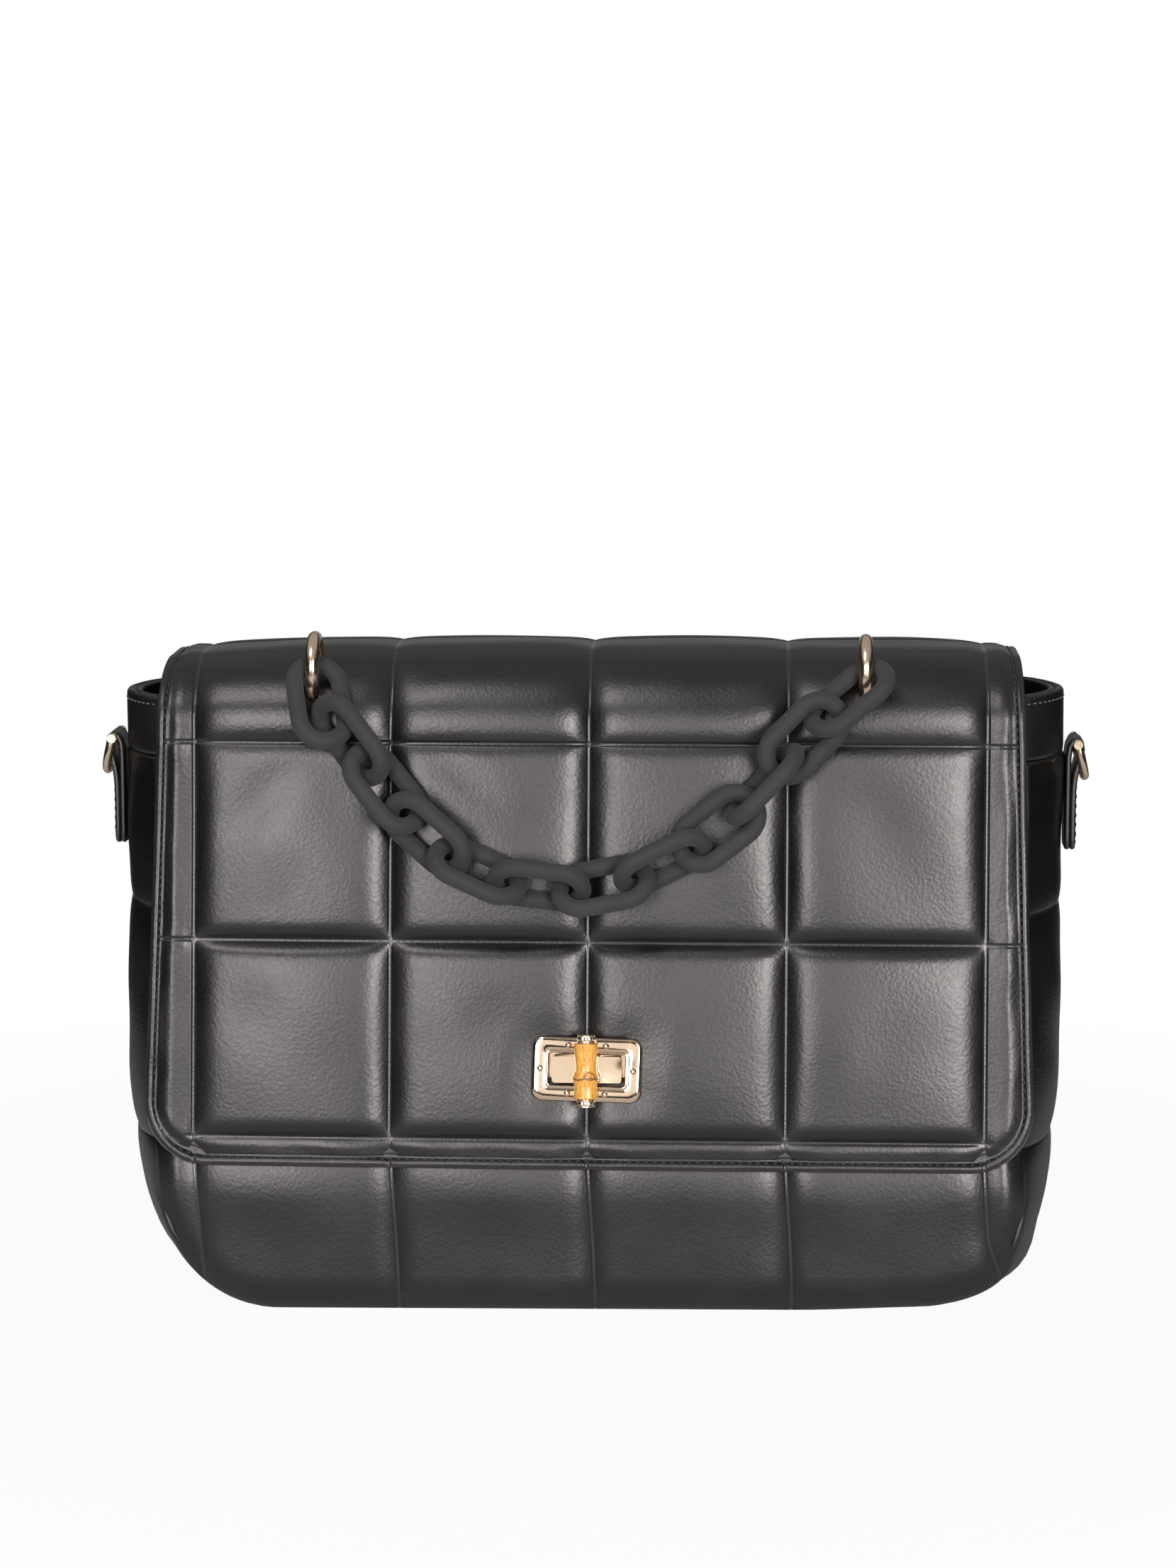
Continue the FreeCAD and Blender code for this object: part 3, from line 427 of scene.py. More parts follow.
def cushion(name, node, grid, normal, height, roll, thick, pressed, pattern, flip, lowest=-math.inf):
    """A piece of padded leather round a grid: its outside stands out by a height, its edges are rolled in."""
    outer = grid + ((height + thick / 2) * roll - thick / 2)[..., None] * normal
    inner = grid + (-thick / 2 - thick / 2 * roll)[..., None] * normal
    for sheet in (outer, inner):
        sheet[..., 2] = np.maximum(sheet[..., 2], lowest)
    marks = {"pressed": pressed * roll, "rubbed": (1 - roll) * edge_wear}
    piece = shell(name, outer, inner, pattern, marks, flip=flip)
    fit(piece, quilted_leather, "bag", "quilted_leather", node)


def quilted_panel(name, node, side, seed):
    half, lowest = panel_half + panel_tuck, panel_foot - panel_tuck
    across = sample_lines(-half, half, columns)
    up = sample_lines(0, seam_top - lowest, [z - lowest for z in panel_rows])
    x, z = np.meshgrid(across, up + lowest)
    inward = np.clip(np.abs(x) - panel_corner[0], 0, None)
    foot = panel_corner[1] - half_chord(panel_corner_radius + panel_tuck, inward)
    z = z + (foot - lowest) * np.clip(1 - (z - lowest) / corner_fade, 0, 1)
    edge = edge_distance(np.abs(x), z, panel_edge)
    upright, level = pillow(to_nearest(x, columns)), pillow(to_nearest(z, panel_rows), row_near, row_crown)
    upright = 1 - (1 - upright) * (1 - side_calm * smooth(*side_calm_places, np.abs(x)))
    foam = upright * level
    wave = unevenness(x, z, panel_wave, panel_wave_depth, seed)
    height = panel_proud - panel_depth * (1 - foam) + wave * foam
    height += belly * hump(z - belly_top, belly_reach)
    back = edge_dive * (1 - smooth(*edge_dive_reach, edge))
    back = back + foot_recess * np.clip(1 - z / belly_top, 0, 1) ** foot_recess_power
    channel_gap = np.minimum(to_nearest(x, columns), to_nearest(z, panel_rows))
    pressed = (1 - pillow(channel_gap) / lip_share).clip(0, 1)
    outward = np.array([0, side * rise, lean])
    rest_x, rest_z = settled(x, z)
    spot = np.stack([rest_x, side * face_y(z), rest_z], -1) - back[..., None] * outward
    cushion(name, node, spot, outward, height, rounded(edge, panel_roll), panel_thick, pressed,
            np.stack([x, z], -1), side > 0)


quilted_panel("front_panel_quilt", "front_panel", -1, 3)
quilted_panel("back_panel_quilt", "back_panel", 1, 4)

# Gussets and base: a strip of the same padded leather between the panels, from the mouth down one side,
# under the bag and up the other side. It is cut in three, sewn, and bulges outward between its two seams.
side_half = 157.5
side_radius, foot_radius = 180, 42
side_centre = (side_half - side_radius, 80)
foot_turn = math.asin((side_centre[1] - foot_radius) / (side_radius - foot_radius))
foot_corner = (side_centre[0] + (side_radius - foot_radius) * math.cos(foot_turn), foot_radius)
corner_turn = -math.degrees(foot_turn)
under_lap = 6
seam_under = foot_corner[0] - under_lap
strip_thick, strip_depth, strip_roll = 4, 1.4, 2.2
strip_wave, strip_wave_depth = 36, 0.4
strip_pattern_gap = 400
half_lines = 50
crease_share, crease_stop = 0.5, (20, 4)
flat_foot_heights = (30, 4)
least_deep, edge_stretch = 20, 1.15
fullness_top, fullness_gain, fullness_heights, section_power = 1.75, 0.5, (180, 60), 0.72
seam_sink, foot_sink, foot_sink_heights = 1.6, 8, (28, 8)
off_floor = 0.02
gusset_rows = [57, 133]


def run_lengths(path):
    """Length of a path up to each of its points."""
    return np.concatenate([[0], np.cumsum(np.linalg.norm(np.diff(path, axis=0), axis=1))])


def at_lengths(places, lengths, path):
    return np.stack([np.interp(places, lengths, column) for column in path.T], -1)


def panel_seam_x(z):
    """Half width of a panel at a height, where it is sewn to the gusset."""
    corner = panel_corner[0] + half_chord(panel_corner_radius, panel_corner[1] - z)
    return np.where(z < panel_corner[1], corner, panel_half)


def strip_section(share, z):
    """How far the strip bulges from its seams, at -1 and 1, to its middle. It is fuller lower down."""
    fullness = fullness_top + fullness_gain * smooth(*fullness_heights, z)
    return (1 - np.abs(share) ** fullness) ** section_power


def grid_normals(grid):
    along, across = np.gradient(grid, axis=0), np.gradient(grid, axis=1)
    normal = np.cross(across, along)
    return normal / np.maximum(np.linalg.norm(normal, axis=-1, keepdims=True), 1e-9)


def strip_piece(name, node, mid, seam, lengths, rows, crease, flip):
    """One piece of the strip between outline points, quilted across at the rows."""
    share = sample_lines(-half_lines, half_lines, [0] if crease else [], coarse=3) / half_lines
    along = sample_lines(lengths[0], lengths[-1], rows)
    mid, seam = (at_lengths(along, lengths, line)[:, None, :] for line in (mid, seam))
    seam = np.stack(settled(seam[..., 0], seam[..., 1]), -1)
    mid = np.stack([settled(mid[..., 0], mid[..., 1])[0], mid[..., 1]], -1)
    height = mid[..., 1]
    plane = seam + (mid - seam) * strip_section(share[None, :], height)[..., None]
    seam_deep = face_y(seam[..., 1])
    seam_back = seam_sink + foot_sink * smooth(*foot_sink_heights, seam[..., 1])
    depth = (seam_deep - seam_back) * share[None, :]
    grid = np.stack([plane[..., 0], depth, plane[..., 1]], -1)
    normal = grid_normals(grid) * (-1 if flip else 1)
    run = np.broadcast_to(along[:, None], depth.shape)
    end = np.minimum(run - lengths[0], lengths[-1] - run)
    side_edge = (1 - np.abs(share))[None, :] * np.maximum(seam_deep, least_deep) * edge_stretch
    upright = np.ones_like(depth)
    if crease:
        upright = pillow(np.abs(depth)) * crease_share + (1 - crease_share)
    upright = upright + (1 - upright) * smooth(*crease_stop, end)
    level = pillow(to_nearest(run, rows)) if rows else np.ones_like(depth)
    roll = rounded(np.minimum(end, side_edge), strip_roll)
    wave = unevenness(run, depth, strip_wave, strip_wave_depth, len(name))
    swelling = (-strip_depth * (1 - upright * level) + wave) * (1 - smooth(*flat_foot_heights, height))
    pressed = (1 - level / lip_share).clip(0, 1)
    pattern = np.stack([depth + strip_pattern_gap, run], -1)
    cushion(name, node, grid, normal, swelling, roll, strip_thick, pressed, pattern, flip,
            off_floor)


drop = np.linspace(seam_top, side_centre[1], 150)
lower = np.linspace(side_centre[1], panel_corner[1] - panel_corner_radius * math.sin(foot_turn), 86)[1:]
middle_line = np.concatenate([
    np.stack([np.full_like(drop, side_half), drop], -1),
    arc(side_centre, side_radius, 0, corner_turn, 86)[1:],
    arc(foot_corner, foot_radius, corner_turn, -90, 60)[1:],
])
seam_line = np.concatenate([
    np.stack([panel_seam_x(drop), drop], -1),
    np.stack([panel_seam_x(lower), lower], -1),
    arc(panel_corner, panel_corner_radius, corner_turn, -90, 60)[1:],
])
middle_length = run_lengths(middle_line)
down_rows = [float(np.interp(-z, -middle_line[:, 1], middle_length)) for z in gusset_rows]
reach_under = middle_length[-1] + foot_corner[0] - seam_under
seam_end = panel_corner[0] - foot_corner[0] + seam_under
side_mid = np.concatenate([middle_line, [(seam_under, 0)]])
side_seam = np.concatenate([seam_line, [(seam_end, panel_foot)]])
side_length = np.append(middle_length, reach_under)
for label, sign in (("left", -1), ("right", 1)):
    mirror = np.array([sign, 1])
    strip_piece(f"gusset_{label}_pad", f"gusset_{label}", side_mid * mirror, side_seam * mirror,
                side_length, down_rows, True, sign > 0)
base_mid = np.array([(seam_under, 0), (-seam_under, 0)], float)
base_seam = np.array([(seam_end, panel_foot), (-seam_end, panel_foot)])
base_length = np.array([0, 2 * seam_under], float)
strip_piece("base_pad", "base_panel", base_mid, base_seam, base_length, [], False, True)

# Lining: a pouch of dark twill, sewn to the facing at its top and lying loosely inside the panels
# and on the board.
loop_count = 420


def unit(vectors):
    return vectors / np.linalg.norm(vectors, axis=-1, keepdims=True)


def loop_outward(loop):
    """Outward direction at each point of a closed loop."""
    ahead = np.roll(loop, -1, axis=0) - np.roll(loop, 1, axis=0)
    return unit(np.stack([ahead[:, 1], -ahead[:, 0]], -1))


def side_middle_x(z):
    """Half width of the bag at a height, out to the strip's middle line."""
    side, corner = (
        centre[0] + half_chord(radius, np.minimum(z - centre[1], 0))
        for centre, radius in ((side_centre, side_radius), (foot_corner, foot_radius)))
    return np.where(z < foot_corner[1] - foot_radius * math.sin(foot_turn), corner, side)


def plan_loop(z, inset, smoothing=5.0):
    """The bag's outline at a height, seen from above, moved in by an inset."""
    near, far, deep = float(panel_seam_x(np.array(z))), float(side_middle_x(np.array(z))), face_y(z)
    share = np.linspace(-1, 1, 81)
    end = np.stack([near + (far - near) * strip_section(share, z), deep * share], -1)
    run = np.linspace(-near, near, 200)
    front = np.stack([run, np.full_like(run, -deep)], -1)
    loop = np.concatenate([front[:-1], end[:-1], -front[:-1], -end[:-1]])
    closed = np.vstack([loop, loop[:1]])
    lengths = run_lengths(closed)
    loop = at_lengths(np.linspace(0, lengths[-1], loop_count, endpoint=False), lengths, closed)
    reach = int(4 * smoothing / (lengths[-1] / loop_count)) + 1
    shifts = np.arange(-reach, reach + 1)
    weights = np.exp(-0.5 * ((shifts * lengths[-1] / loop_count) / smoothing) ** 2)
    weights = weights / weights.sum()
    loop = sum(weight * np.roll(loop, shift, axis=0) for weight, shift in zip(weights, shifts))
    return loop - loop_outward(loop) * np.asarray(inset).reshape(-1, 1)


def lid(ring):
    """Faces that close a ring of points."""
    last = len(ring) - 1
    steps = range(len(ring) // 2 - 1)
    return np.array([(ring[i], ring[i + 1], ring[last - 1 - i], ring[last - i]) for i in steps])


def tube_faces(index, lids=True):
    """Faces through rings of points, with lids on both ends or with the last ring joined to the first."""
    rings = index if lids else np.concatenate([index, index[:1]])
    faces = [quads(np.concatenate([rings, rings[:, :1]], axis=1)).reshape(-1, 4)]
    if lids:
        faces += [lid(index[0])[:, ::-1], lid(index[-1])]
    return np.concatenate(faces)


def ring_piece(name, loops, heights, lids):
    """A tube through loops at given heights."""
    grid = np.stack([np.column_stack([loop, np.full(len(loop), z)]) for loop, z in zip(loops, heights)])
    index = np.arange(grid[..., 0].size).reshape(grid.shape[:2])
    step = np.linalg.norm(np.diff(grid, axis=0), axis=-1).mean(1)
    pattern = np.stack(np.meshgrid(run_lengths(grid[0]), np.concatenate([[0], np.cumsum(step)])), -1)
    return mesh_piece(name, grid.reshape(-1, 3), tube_faces(index, lids), pattern.reshape(-1, 2))


cloth_sheen = {"Specular IOR Level": 0.2, "Sheen Weight": 0.25, "Sheen Roughness": 0.5}
twill, shader, place = new_finish("twill", cloth_sheen, flat=True)
ribs = {"Vector": place, "Scale": 430, "Distortion": 0.6}
diagonal = place.add("TexWave", {"bands_direction": "DIAGONAL"}, ribs)
threads = noise(place, 1500, 2)
twill_dark, twill_light = (0.012, 0.012, 0.014, 1), (0.034, 0.033, 0.036, 1)
feed(shader, Base_Color=mixed(diagonal * 0.7 + threads * 0.3, twill_dark, twill_light))
feed(shader, Roughness=0.78 + threads * 0.18, Normal=bumped(diagonal + threads, 0.5, 0.0003))

lining_top, lining_turn, lining_floor = 163.5, 12, 8.2
lining_thick = 0.4
lining_gap, turn_gap, turn_gap_heights = 6.0, 4, (16, 7)
slack_foot, slack_top = (8, 40), (165, 140)
# Slack folds: depth, count round the bag, turn per millimetre of height, start
folds = ((0.7, 9, 0.05, 0), (0.6, 23, 0.11, 1), (0.5, 5, 0.17, 0))
lining_heights = np.concatenate([np.linspace(lining_top, 14, 46), [11.5, 9.8, 8.8, lining_floor]])
floor_shares = (0.9, 0.7, 0.4, 0.1)
turn = np.arange(loop_count) * 2 * math.pi / loop_count
lining_loops = []
for z in lining_heights:
    slack = sum(depth * np.sin(turn * count + z * drift + start) for depth, count, drift, start in folds)
    slack = slack * smooth(*slack_foot, z) * smooth(*slack_top, z)
    tucked = lining_gap + slack + turn_gap * smooth(*turn_gap_heights, z)
    lining_loops.append(plan_loop(max(z, lining_turn), tucked))
lining_loops += [plan_loop(lining_turn, lining_gap + turn_gap) * (share, share) for share in floor_shares]
outer_loops = [loop + lining_thick * loop_outward(loop) for loop in lining_loops]
pouch_heights = np.append(lining_heights, [lining_floor] * len(floor_shares))
outer_heights = np.where(pouch_heights < lining_turn, pouch_heights - lining_thick, pouch_heights)
all_heights = np.append(outer_heights[::-1], pouch_heights)
inside = ring_piece("lining_pouch", outer_loops[::-1] + lining_loops, all_heights, True)
fit(inside, twill, "bag", "lining_cloth", "lining")

# Base board: a stiff grey fibre board with round corners that keeps the bottom flat. It is laid in
# loose, under the lining.
board_fibre, shader, place = new_finish("board_fibre", {"Roughness": 0.9})
fibres = noise(place, 900, 6)
feed(shader, Base_Color=mixed(fibres, (0.16, 0.145, 0.12, 1), (0.3, 0.275, 0.235, 1)))
feed(shader, Normal=bumped(fibres, 0.4, 0.0003))
# From the board's underside to its top: inward, up
board_profile = ((14.3, 5.4), (14.0, 5.7), (14.0, 7.0), (14.3, 7.3))
board_level = 10
board_loops = [plan_loop(board_level, inset) for inset, _ in board_profile]
stiffener = ring_piece("base_board_sheet", board_loops, [z for _, z in board_profile], True)
fit(stiffener, board_fibre, "bag", "board", "base_board")

# Mouth band and facing: a plain strip of leather round the top of the bag and another inside it,
# turned over at the rim and topstitched together. The rim shows both folded edges.
plain_leather = leather(
    "plain_leather", (0.0065, 0.0064, 0.0064, 1), (0.0105, 0.0102, 0.01, 1), roughness=0.4, grain=0.3)
# Up the band's outside, over both folds and down the facing: inward, up
band_profile = ((2.2, 183.2), (0.9, 183.3), (0.25, 184.0), (0.1, 185.5), (0.1, 192), (0.1, 198.6),
                (0.35, 199.5), (0.1, 200.4), (0.2, 201.4), (0.7, 202.15), (1.5, 202.4), (2.2, 202.1),
                (2.6, 201.3), (2.9, 201.2), (3.3, 201.9), (4.0, 202.3), (4.8, 202.0), (5.3, 201.2),
                (5.4, 198), (5.2, 185), (5.2, 172), (5.3, 165), (5.0, 164.4), (4.6, 165), (4.4, 172),
                (4.2, 182.6))
rim_sway, sway_heights = 0.5 * np.sin(turn * 7 + 1.3) + 0.35 * np.sin(turn * 13), (184, 198)
right_tilt, left_tilt, tilt_places, tilt_heights = 2.4, 0.5, (90, 150), (186, 200)
rim_seam, rim_seam_in = 199.5, 0.28


def band_loop(inset, z):
    """The band's outline and heights at one step of its profile. The rim stands higher on the right."""
    loop = plan_loop(z, inset + rim_sway * smooth(*sway_heights, z))
    x = loop[:, 0]
    tilted = right_tilt * smooth(*tilt_places, x) + left_tilt * smooth(*tilt_places, -x)
    return loop, z + tilted * smooth(*tilt_heights, z)


band_loops, band_heights = zip(*(band_loop(inset, z) for inset, z in band_profile))
band = ring_piece("mouth_band_strip", band_loops, band_heights, False)
fit(band, plain_leather, "bag", "plain_leather", "mouth_band", "mouth_facing")


def sewing_thread(name, dark, light):
    """Twisted thread."""
    material, shader, place = new_finish(name, {"Specular IOR Level": 0.35})
    twist = noise(place, 2600, 2)
    feed(shader, Base_Color=mixed(twist, dark, light), Roughness=0.36 + twist * 0.2)
    feed(shader, Normal=bumped(twist, 0.5, 0.0002))
    return material


thread = sewing_thread("thread", (0.008, 0.009, 0.013, 1), (0.05, 0.056, 0.072, 1))
# The rim's thread is a paler copy of the same dark thread: painted glints on the stitches round the rim.
rim_thread_painted_glint = sewing_thread("rim_thread_painted_glint", (0.09, 0.092, 0.1, 1), (0.24, 0.245, 0.26, 1))


def stitches(name, path, outward, body, pitch_length, thickness=0.32, fill=0.74, made_of=thread):
    """A row of single stitches laid along a path, each dipping into the leather at both ends."""
    lengths = run_lengths(path)
    count = int(lengths[-1] / pitch_length)
    pitch_length = lengths[-1] / count
    sides, rings = 8, 6
    turn = np.arange(sides) * 2 * math.pi / sides
    along = np.linspace(-1, 1, rings)
    radius = thickness * np.sqrt(np.clip(1.02 - along**4, 0, 1))
    lift = thickness * (0.75 - 1.7 * along**4)
    index = np.arange(rings * sides).reshape(rings, sides)
    points, faces = [], []
    for i in range(count):
        places = (i + 0.5 + 0.5 * fill * along) * pitch_length
        spot = at_lengths(places, lengths, path)
        up = unit(at_lengths(places, lengths, outward))
        side = np.cross(unit(np.gradient(spot, axis=0)), up)
        spot = spot + up * lift[:, None]
        spokes = np.cos(turn)[None, :, None] * side[:, None] + np.sin(turn)[None, :, None] * up[:, None]
        points.append((spot[:, None] + radius[:, None, None] * spokes).reshape(-1, 3))
        faces.append(tube_faces(index + i * index.size))
    points = np.concatenate(points)
    row = mesh_piece(name, points, np.concatenate(faces), points[:, :2])
    row.data.materials.append(made_of)
    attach(row, body)


rim_path = np.column_stack(band_loop(rim_seam_in, rim_seam))
rim_out = np.column_stack([plan_loop(rim_seam, 0) - plan_loop(rim_seam, 1), np.zeros(loop_count)])
rim_path, rim_out = (np.vstack([line, line[:1]]) for line in (rim_path, rim_out))
stitches("rim_stitches", rim_path, rim_out, "bag", 2.6, 0.24, 0.55, rim_thread_painted_glint)

# Side tabs: a strip of plain leather folded round the bar of the strap ring, with both ends sewn
# flat on the gusset.
tab_half = 7.5
tab_layer = 1.8
tab_foot = 150
tab_face, tab_sewn_at = 160.2, 160.95
tab_roll, tab_end_roll = 0.9, 4
tab_wear = 0.9
eye = (161.2, 186.3)
eye_mid = 2.8
# Where the outer layer comes back to the inner one: out, up
tab_neck = ((162.6, 181.6), (161.2, 178.4), (160.4, 175.0))
# The seam: across, up
tab_seam = ((-5.5, 173), (-5.5, 154), (-4.2, 152.2), (4.2, 152.2), (5.5, 154), (5.5, 173))


def side_tab(label, sign):
    inner_run = np.stack([np.full(24, side_half + tab_layer / 2), np.linspace(tab_foot, eye[1] - 1, 24)], -1)
    outer_run = np.stack([np.full(20, tab_face), np.linspace(172, tab_foot, 20)], -1)
    path = np.concatenate([inner_run, arc(eye, eye_mid, 186, -40, 40), tab_neck, outer_run])
    lengths = run_lengths(path)
    along = sample_lines(0, lengths[-1], [], coarse=1.0)
    path = at_lengths(along, lengths, path)
    for _ in range(3):
        path[1:-1] = (path[:-2] + 2 * path[1:-1] + path[2:]) / 4
    ahead = unit(np.gradient(path, axis=0))
    outward = np.stack([-ahead[:, 1], ahead[:, 0]], -1)
    across = sample_lines(-tab_half, tab_half, [], coarse=2)
    end = np.minimum(along, lengths[-1] - along)
    narrow = 1 - (1 - rounded(end, tab_end_roll)) * 0.5
    wide = across[None, :] * narrow[:, None]
    edge = np.minimum(tab_half * narrow[:, None] - np.abs(wide), end[:, None])
    roll = rounded(edge, tab_roll)
    groove = 0.22 * hump(edge - 2, 0.5)
    sheets = []
    for lift in (tab_layer / 2 * roll - groove, -tab_layer / 2 * roll):
        spot = path[:, None, :] + outward[:, None, :] * lift[..., None]
        sheets.append(np.stack([sign * spot[..., 0], wide, spot[..., 1]], -1))
    marks = {"rubbed": (1 - roll) * tab_wear, "pressed": np.zeros_like(roll)}
    pattern = np.stack([wide, along[:, None] + 0 * wide], -1)
    tab = shell(f"side_tab_{label}_strip", *sheets, pattern, marks, flip=sign < 0)
    fit(tab, plain_leather, "bag", "plain_leather", f"side_tab_{label}")
    route = np.array([(sign * tab_sewn_at, y, z) for y, z in tab_seam])
    route_out = np.tile((float(sign), 0, 0), (len(route), 1))
    stitches(f"side_tab_{label}_stitches", route, route_out, "bag", 3.0, 0.28)


for label, sign in (("left", -1), ("right", 1)):
    side_tab(label, sign)

# Strap rings: two D-rings of pale gold plated wire. Each hangs loose in the eye of its side tab, for a
# strap to be hooked in.
gold, shader, place = new_finish("gold", {"Metallic": 1.0})
cloud = noise(place, 160, 4)
scratch = noise(place, 2400, 3)
feed(shader, Base_Color=mixed(cloud, (0.93, 0.7, 0.5, 1), (0.99, 0.8, 0.62, 1)))
feed(shader, Roughness=0.17 + cloud * 0.1 + eased(scratch, 0.55, 0.8) * 0.1)
feed(shader, Normal=bumped(cloud, 0.08, 0.0003))


def dress(material, *nodes):
    for node in nodes:
        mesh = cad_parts[node].data
        mesh.materials.clear()
        mesh.materials.append(material)


dress(gold, "strap_ring_left", "strap_ring_right")

# Flap: one piece of quilted leather that starts on the back panel, goes over the crest and down the front.
# Its rim is a rolled edge with a row of stitching, and its end is pared thin and sewn on the back.
flap_out, back_out = 7.4, 6
crest_top = 220.0
front_radius, back_radius = 28.0, 22.0
flap_foot = 51.0
fold = (33.888, 186.0)
front_middle, back_middle = crest_top - front_radius, crest_top - back_radius
front_y = -(base_half_depth + flap_out / rise - front_middle * slope) + front_radius / rise
back_y = face_y(back_middle) + back_out / rise - back_radius / rise
bend_angle = math.pi / 2 - tilt
front_run = (front_middle + front_radius * lean - flap_foot) / rise
crest_start = front_run + front_radius * bend_angle
crest = back_y - front_y
back_start = crest_start + crest + back_radius * bend_angle
fold_run = back_start + (back_middle + back_radius * lean - fold[1]) / rise
root_long, first_row = 24.7, 9.6
flap_end = fold_run + root_long
flap_rows = [first_row + pitch * i for i in range(4)]
lock_run = 33.29
window = (13.1, 5.8)
flap_depth, flap_proud = 3.9, 0.8
edge_half = 2.6
bead_roll, tuck_roll = 1.8, 1.6
stitch_line, stitch_stop = 2.9, 10
root_seam_up, root_seam_half = 18.5, 134
flap_corner = 21.0
flap_side, squeezed_from = 146, 131
taper, taper_foot, taper_tall = 5, 72, 168
foot_fade = 60
crest_sink, left_sink, right_sink = 1.6, 2.4, 0.6
left_sink_places, right_sink_places = (-60, -140), (100, 140)
crest_rise = (front_run, front_run + 35)
crest_fall = (back_start + 8, back_start - 30)
calm_rise = (front_run + 12, front_run + 34)
front_bow, front_bow_runs = 2.4, (front_run + 20, front_run - 40)
rim_lip, rim_slope, rim_slope_reach = 0.2, 0.04, 6
rows_stop, crest_rows_stop, upper_rows = (134, 129), (142.5, 139), (100, 132)
crest_calm, crest_line = 0.62, 0.5
flap_wave, flap_wave_depth = 46, 0.4
lock_bed, lock_bed_sink, lock_bed_ease = (16, 9), 0.45, 5.5
bead_sink, bead_nick, rim_sink = 1.5, 0.4, 1.1
pucker_size, pucker_depth, pucker_at, pucker_reach = 11, 0.3, 5, 3.5
groove_depth, groove_reach = 0.5, 0.55
pared_height, pared_share, pared_runs = -4.2, 0.25, (fold_run - 9, fold_run + 5)
cover_thick, pared_under, pared_rim = 1.0, 2.6, 2.0
rim_wear = 0.5
# Soft dents: across, up, half width, half length, turn in degrees, depth
dents = ((-108, 120, 6, 17, -40, 0.9), (-84, 128, 7, 15, 25, 0.5), (-96, 92, 10, 14, -20, 0.4),
         (-40, 128, 5, 14, 55, 0.6), (-52, 168, 5, 13, -35, 0.6), (40, 160, 8, 14, 30, 0.4),
         (95, 116, 9, 15, 35, 0.45), (-110, 52, 9, 13, 60, 0.4), (-28, 50, 7, 10, -60, 0.5),
         (96, 42, 10, 14, -35, 0.4), (30, 100, 12, 9, 10, 0.35))


def flap_path(run):
    """Place (y, z) and outward direction of the flap's outside at a length up from its foot."""
    turn_front = np.clip((run - front_run) / front_radius, 0, bend_angle)
    turn_back = np.clip((run - crest_start - crest) / back_radius, 0, bend_angle)
    angle = math.pi - tilt - turn_front - turn_back
    out_y, out_z = np.cos(angle), np.sin(angle)
    below = np.minimum(run - front_run, 0)
    level = np.clip(run - crest_start, 0, crest)
    beyond = np.maximum(run - back_start, 0)
    fore = run < crest_start + crest
    y = np.where(fore, front_y + front_radius * out_y, back_y + back_radius * out_y)
    z = np.where(fore, front_middle + front_radius * out_z, back_middle + back_radius * out_z)
    y = y + below * lean + np.where(fore, level, 0) + beyond * lean
    z = z + below * rise - beyond * rise
    return y, z, out_y, out_z


def flap_half(run):
    z = flap_path(np.minimum(run, crest_start))[1]
    return flap_side - np.clip((z - taper_foot) * taper / taper_tall, -0.5, taper)


def flap_grid(across, along, margin=0.0):
    """Places on the flap's flat pattern, squeezed to its outline."""
    x, run = np.meshgrid(across, along)
    inward = np.clip(np.abs(x) - (flap_side - flap_corner), 0, flap_corner)
    foot = flap_corner - half_chord(flap_corner, inward)
    run = run + foot * np.clip(1 - run / foot_fade, 0, 1)
    beyond = np.abs(x) - squeezed_from
    stretch = (flap_half(run) - squeezed_from) / (flap_side - squeezed_from)
    x = np.sign(x) * np.where(beyond > 0, squeezed_from + beyond * stretch, np.abs(x))
    x = x * (1 - margin / flap_side)
    return x, run + margin * np.clip(1 - run / foot_fade, 0, 1)


def flap_spot(x, run, lift):
    """Places on the flap. Its front is bowed a little, and its crest sinks more on the left."""
    y, z, out_y, out_z = flap_path(run)
    on_crest = smooth(*crest_rise, run) * smooth(*crest_fall, run)
    sunk = crest_sink + left_sink * smooth(*left_sink_places, x) + right_sink * smooth(*right_sink_places, x)
    bow = front_bow * (x / flap_side) ** 2 * smooth(*front_bow_runs, run)
    lift = lift - on_crest * sunk - bow
    return np.stack([x, y + lift * out_y, z + lift * out_z], -1)


def flat_strip(distance):
    """Like pillow, for the thin strip between the last channel and the rim."""
    lip = rim_lip * smooth(channel_half, channel_lip, distance)
    return lip + rim_slope * np.clip(distance - channel_lip, 0, rim_slope_reach)


def pared(run):
    """0 on the flap, 1 on the thin end that is sewn down."""
    return smooth(*pared_runs, run)


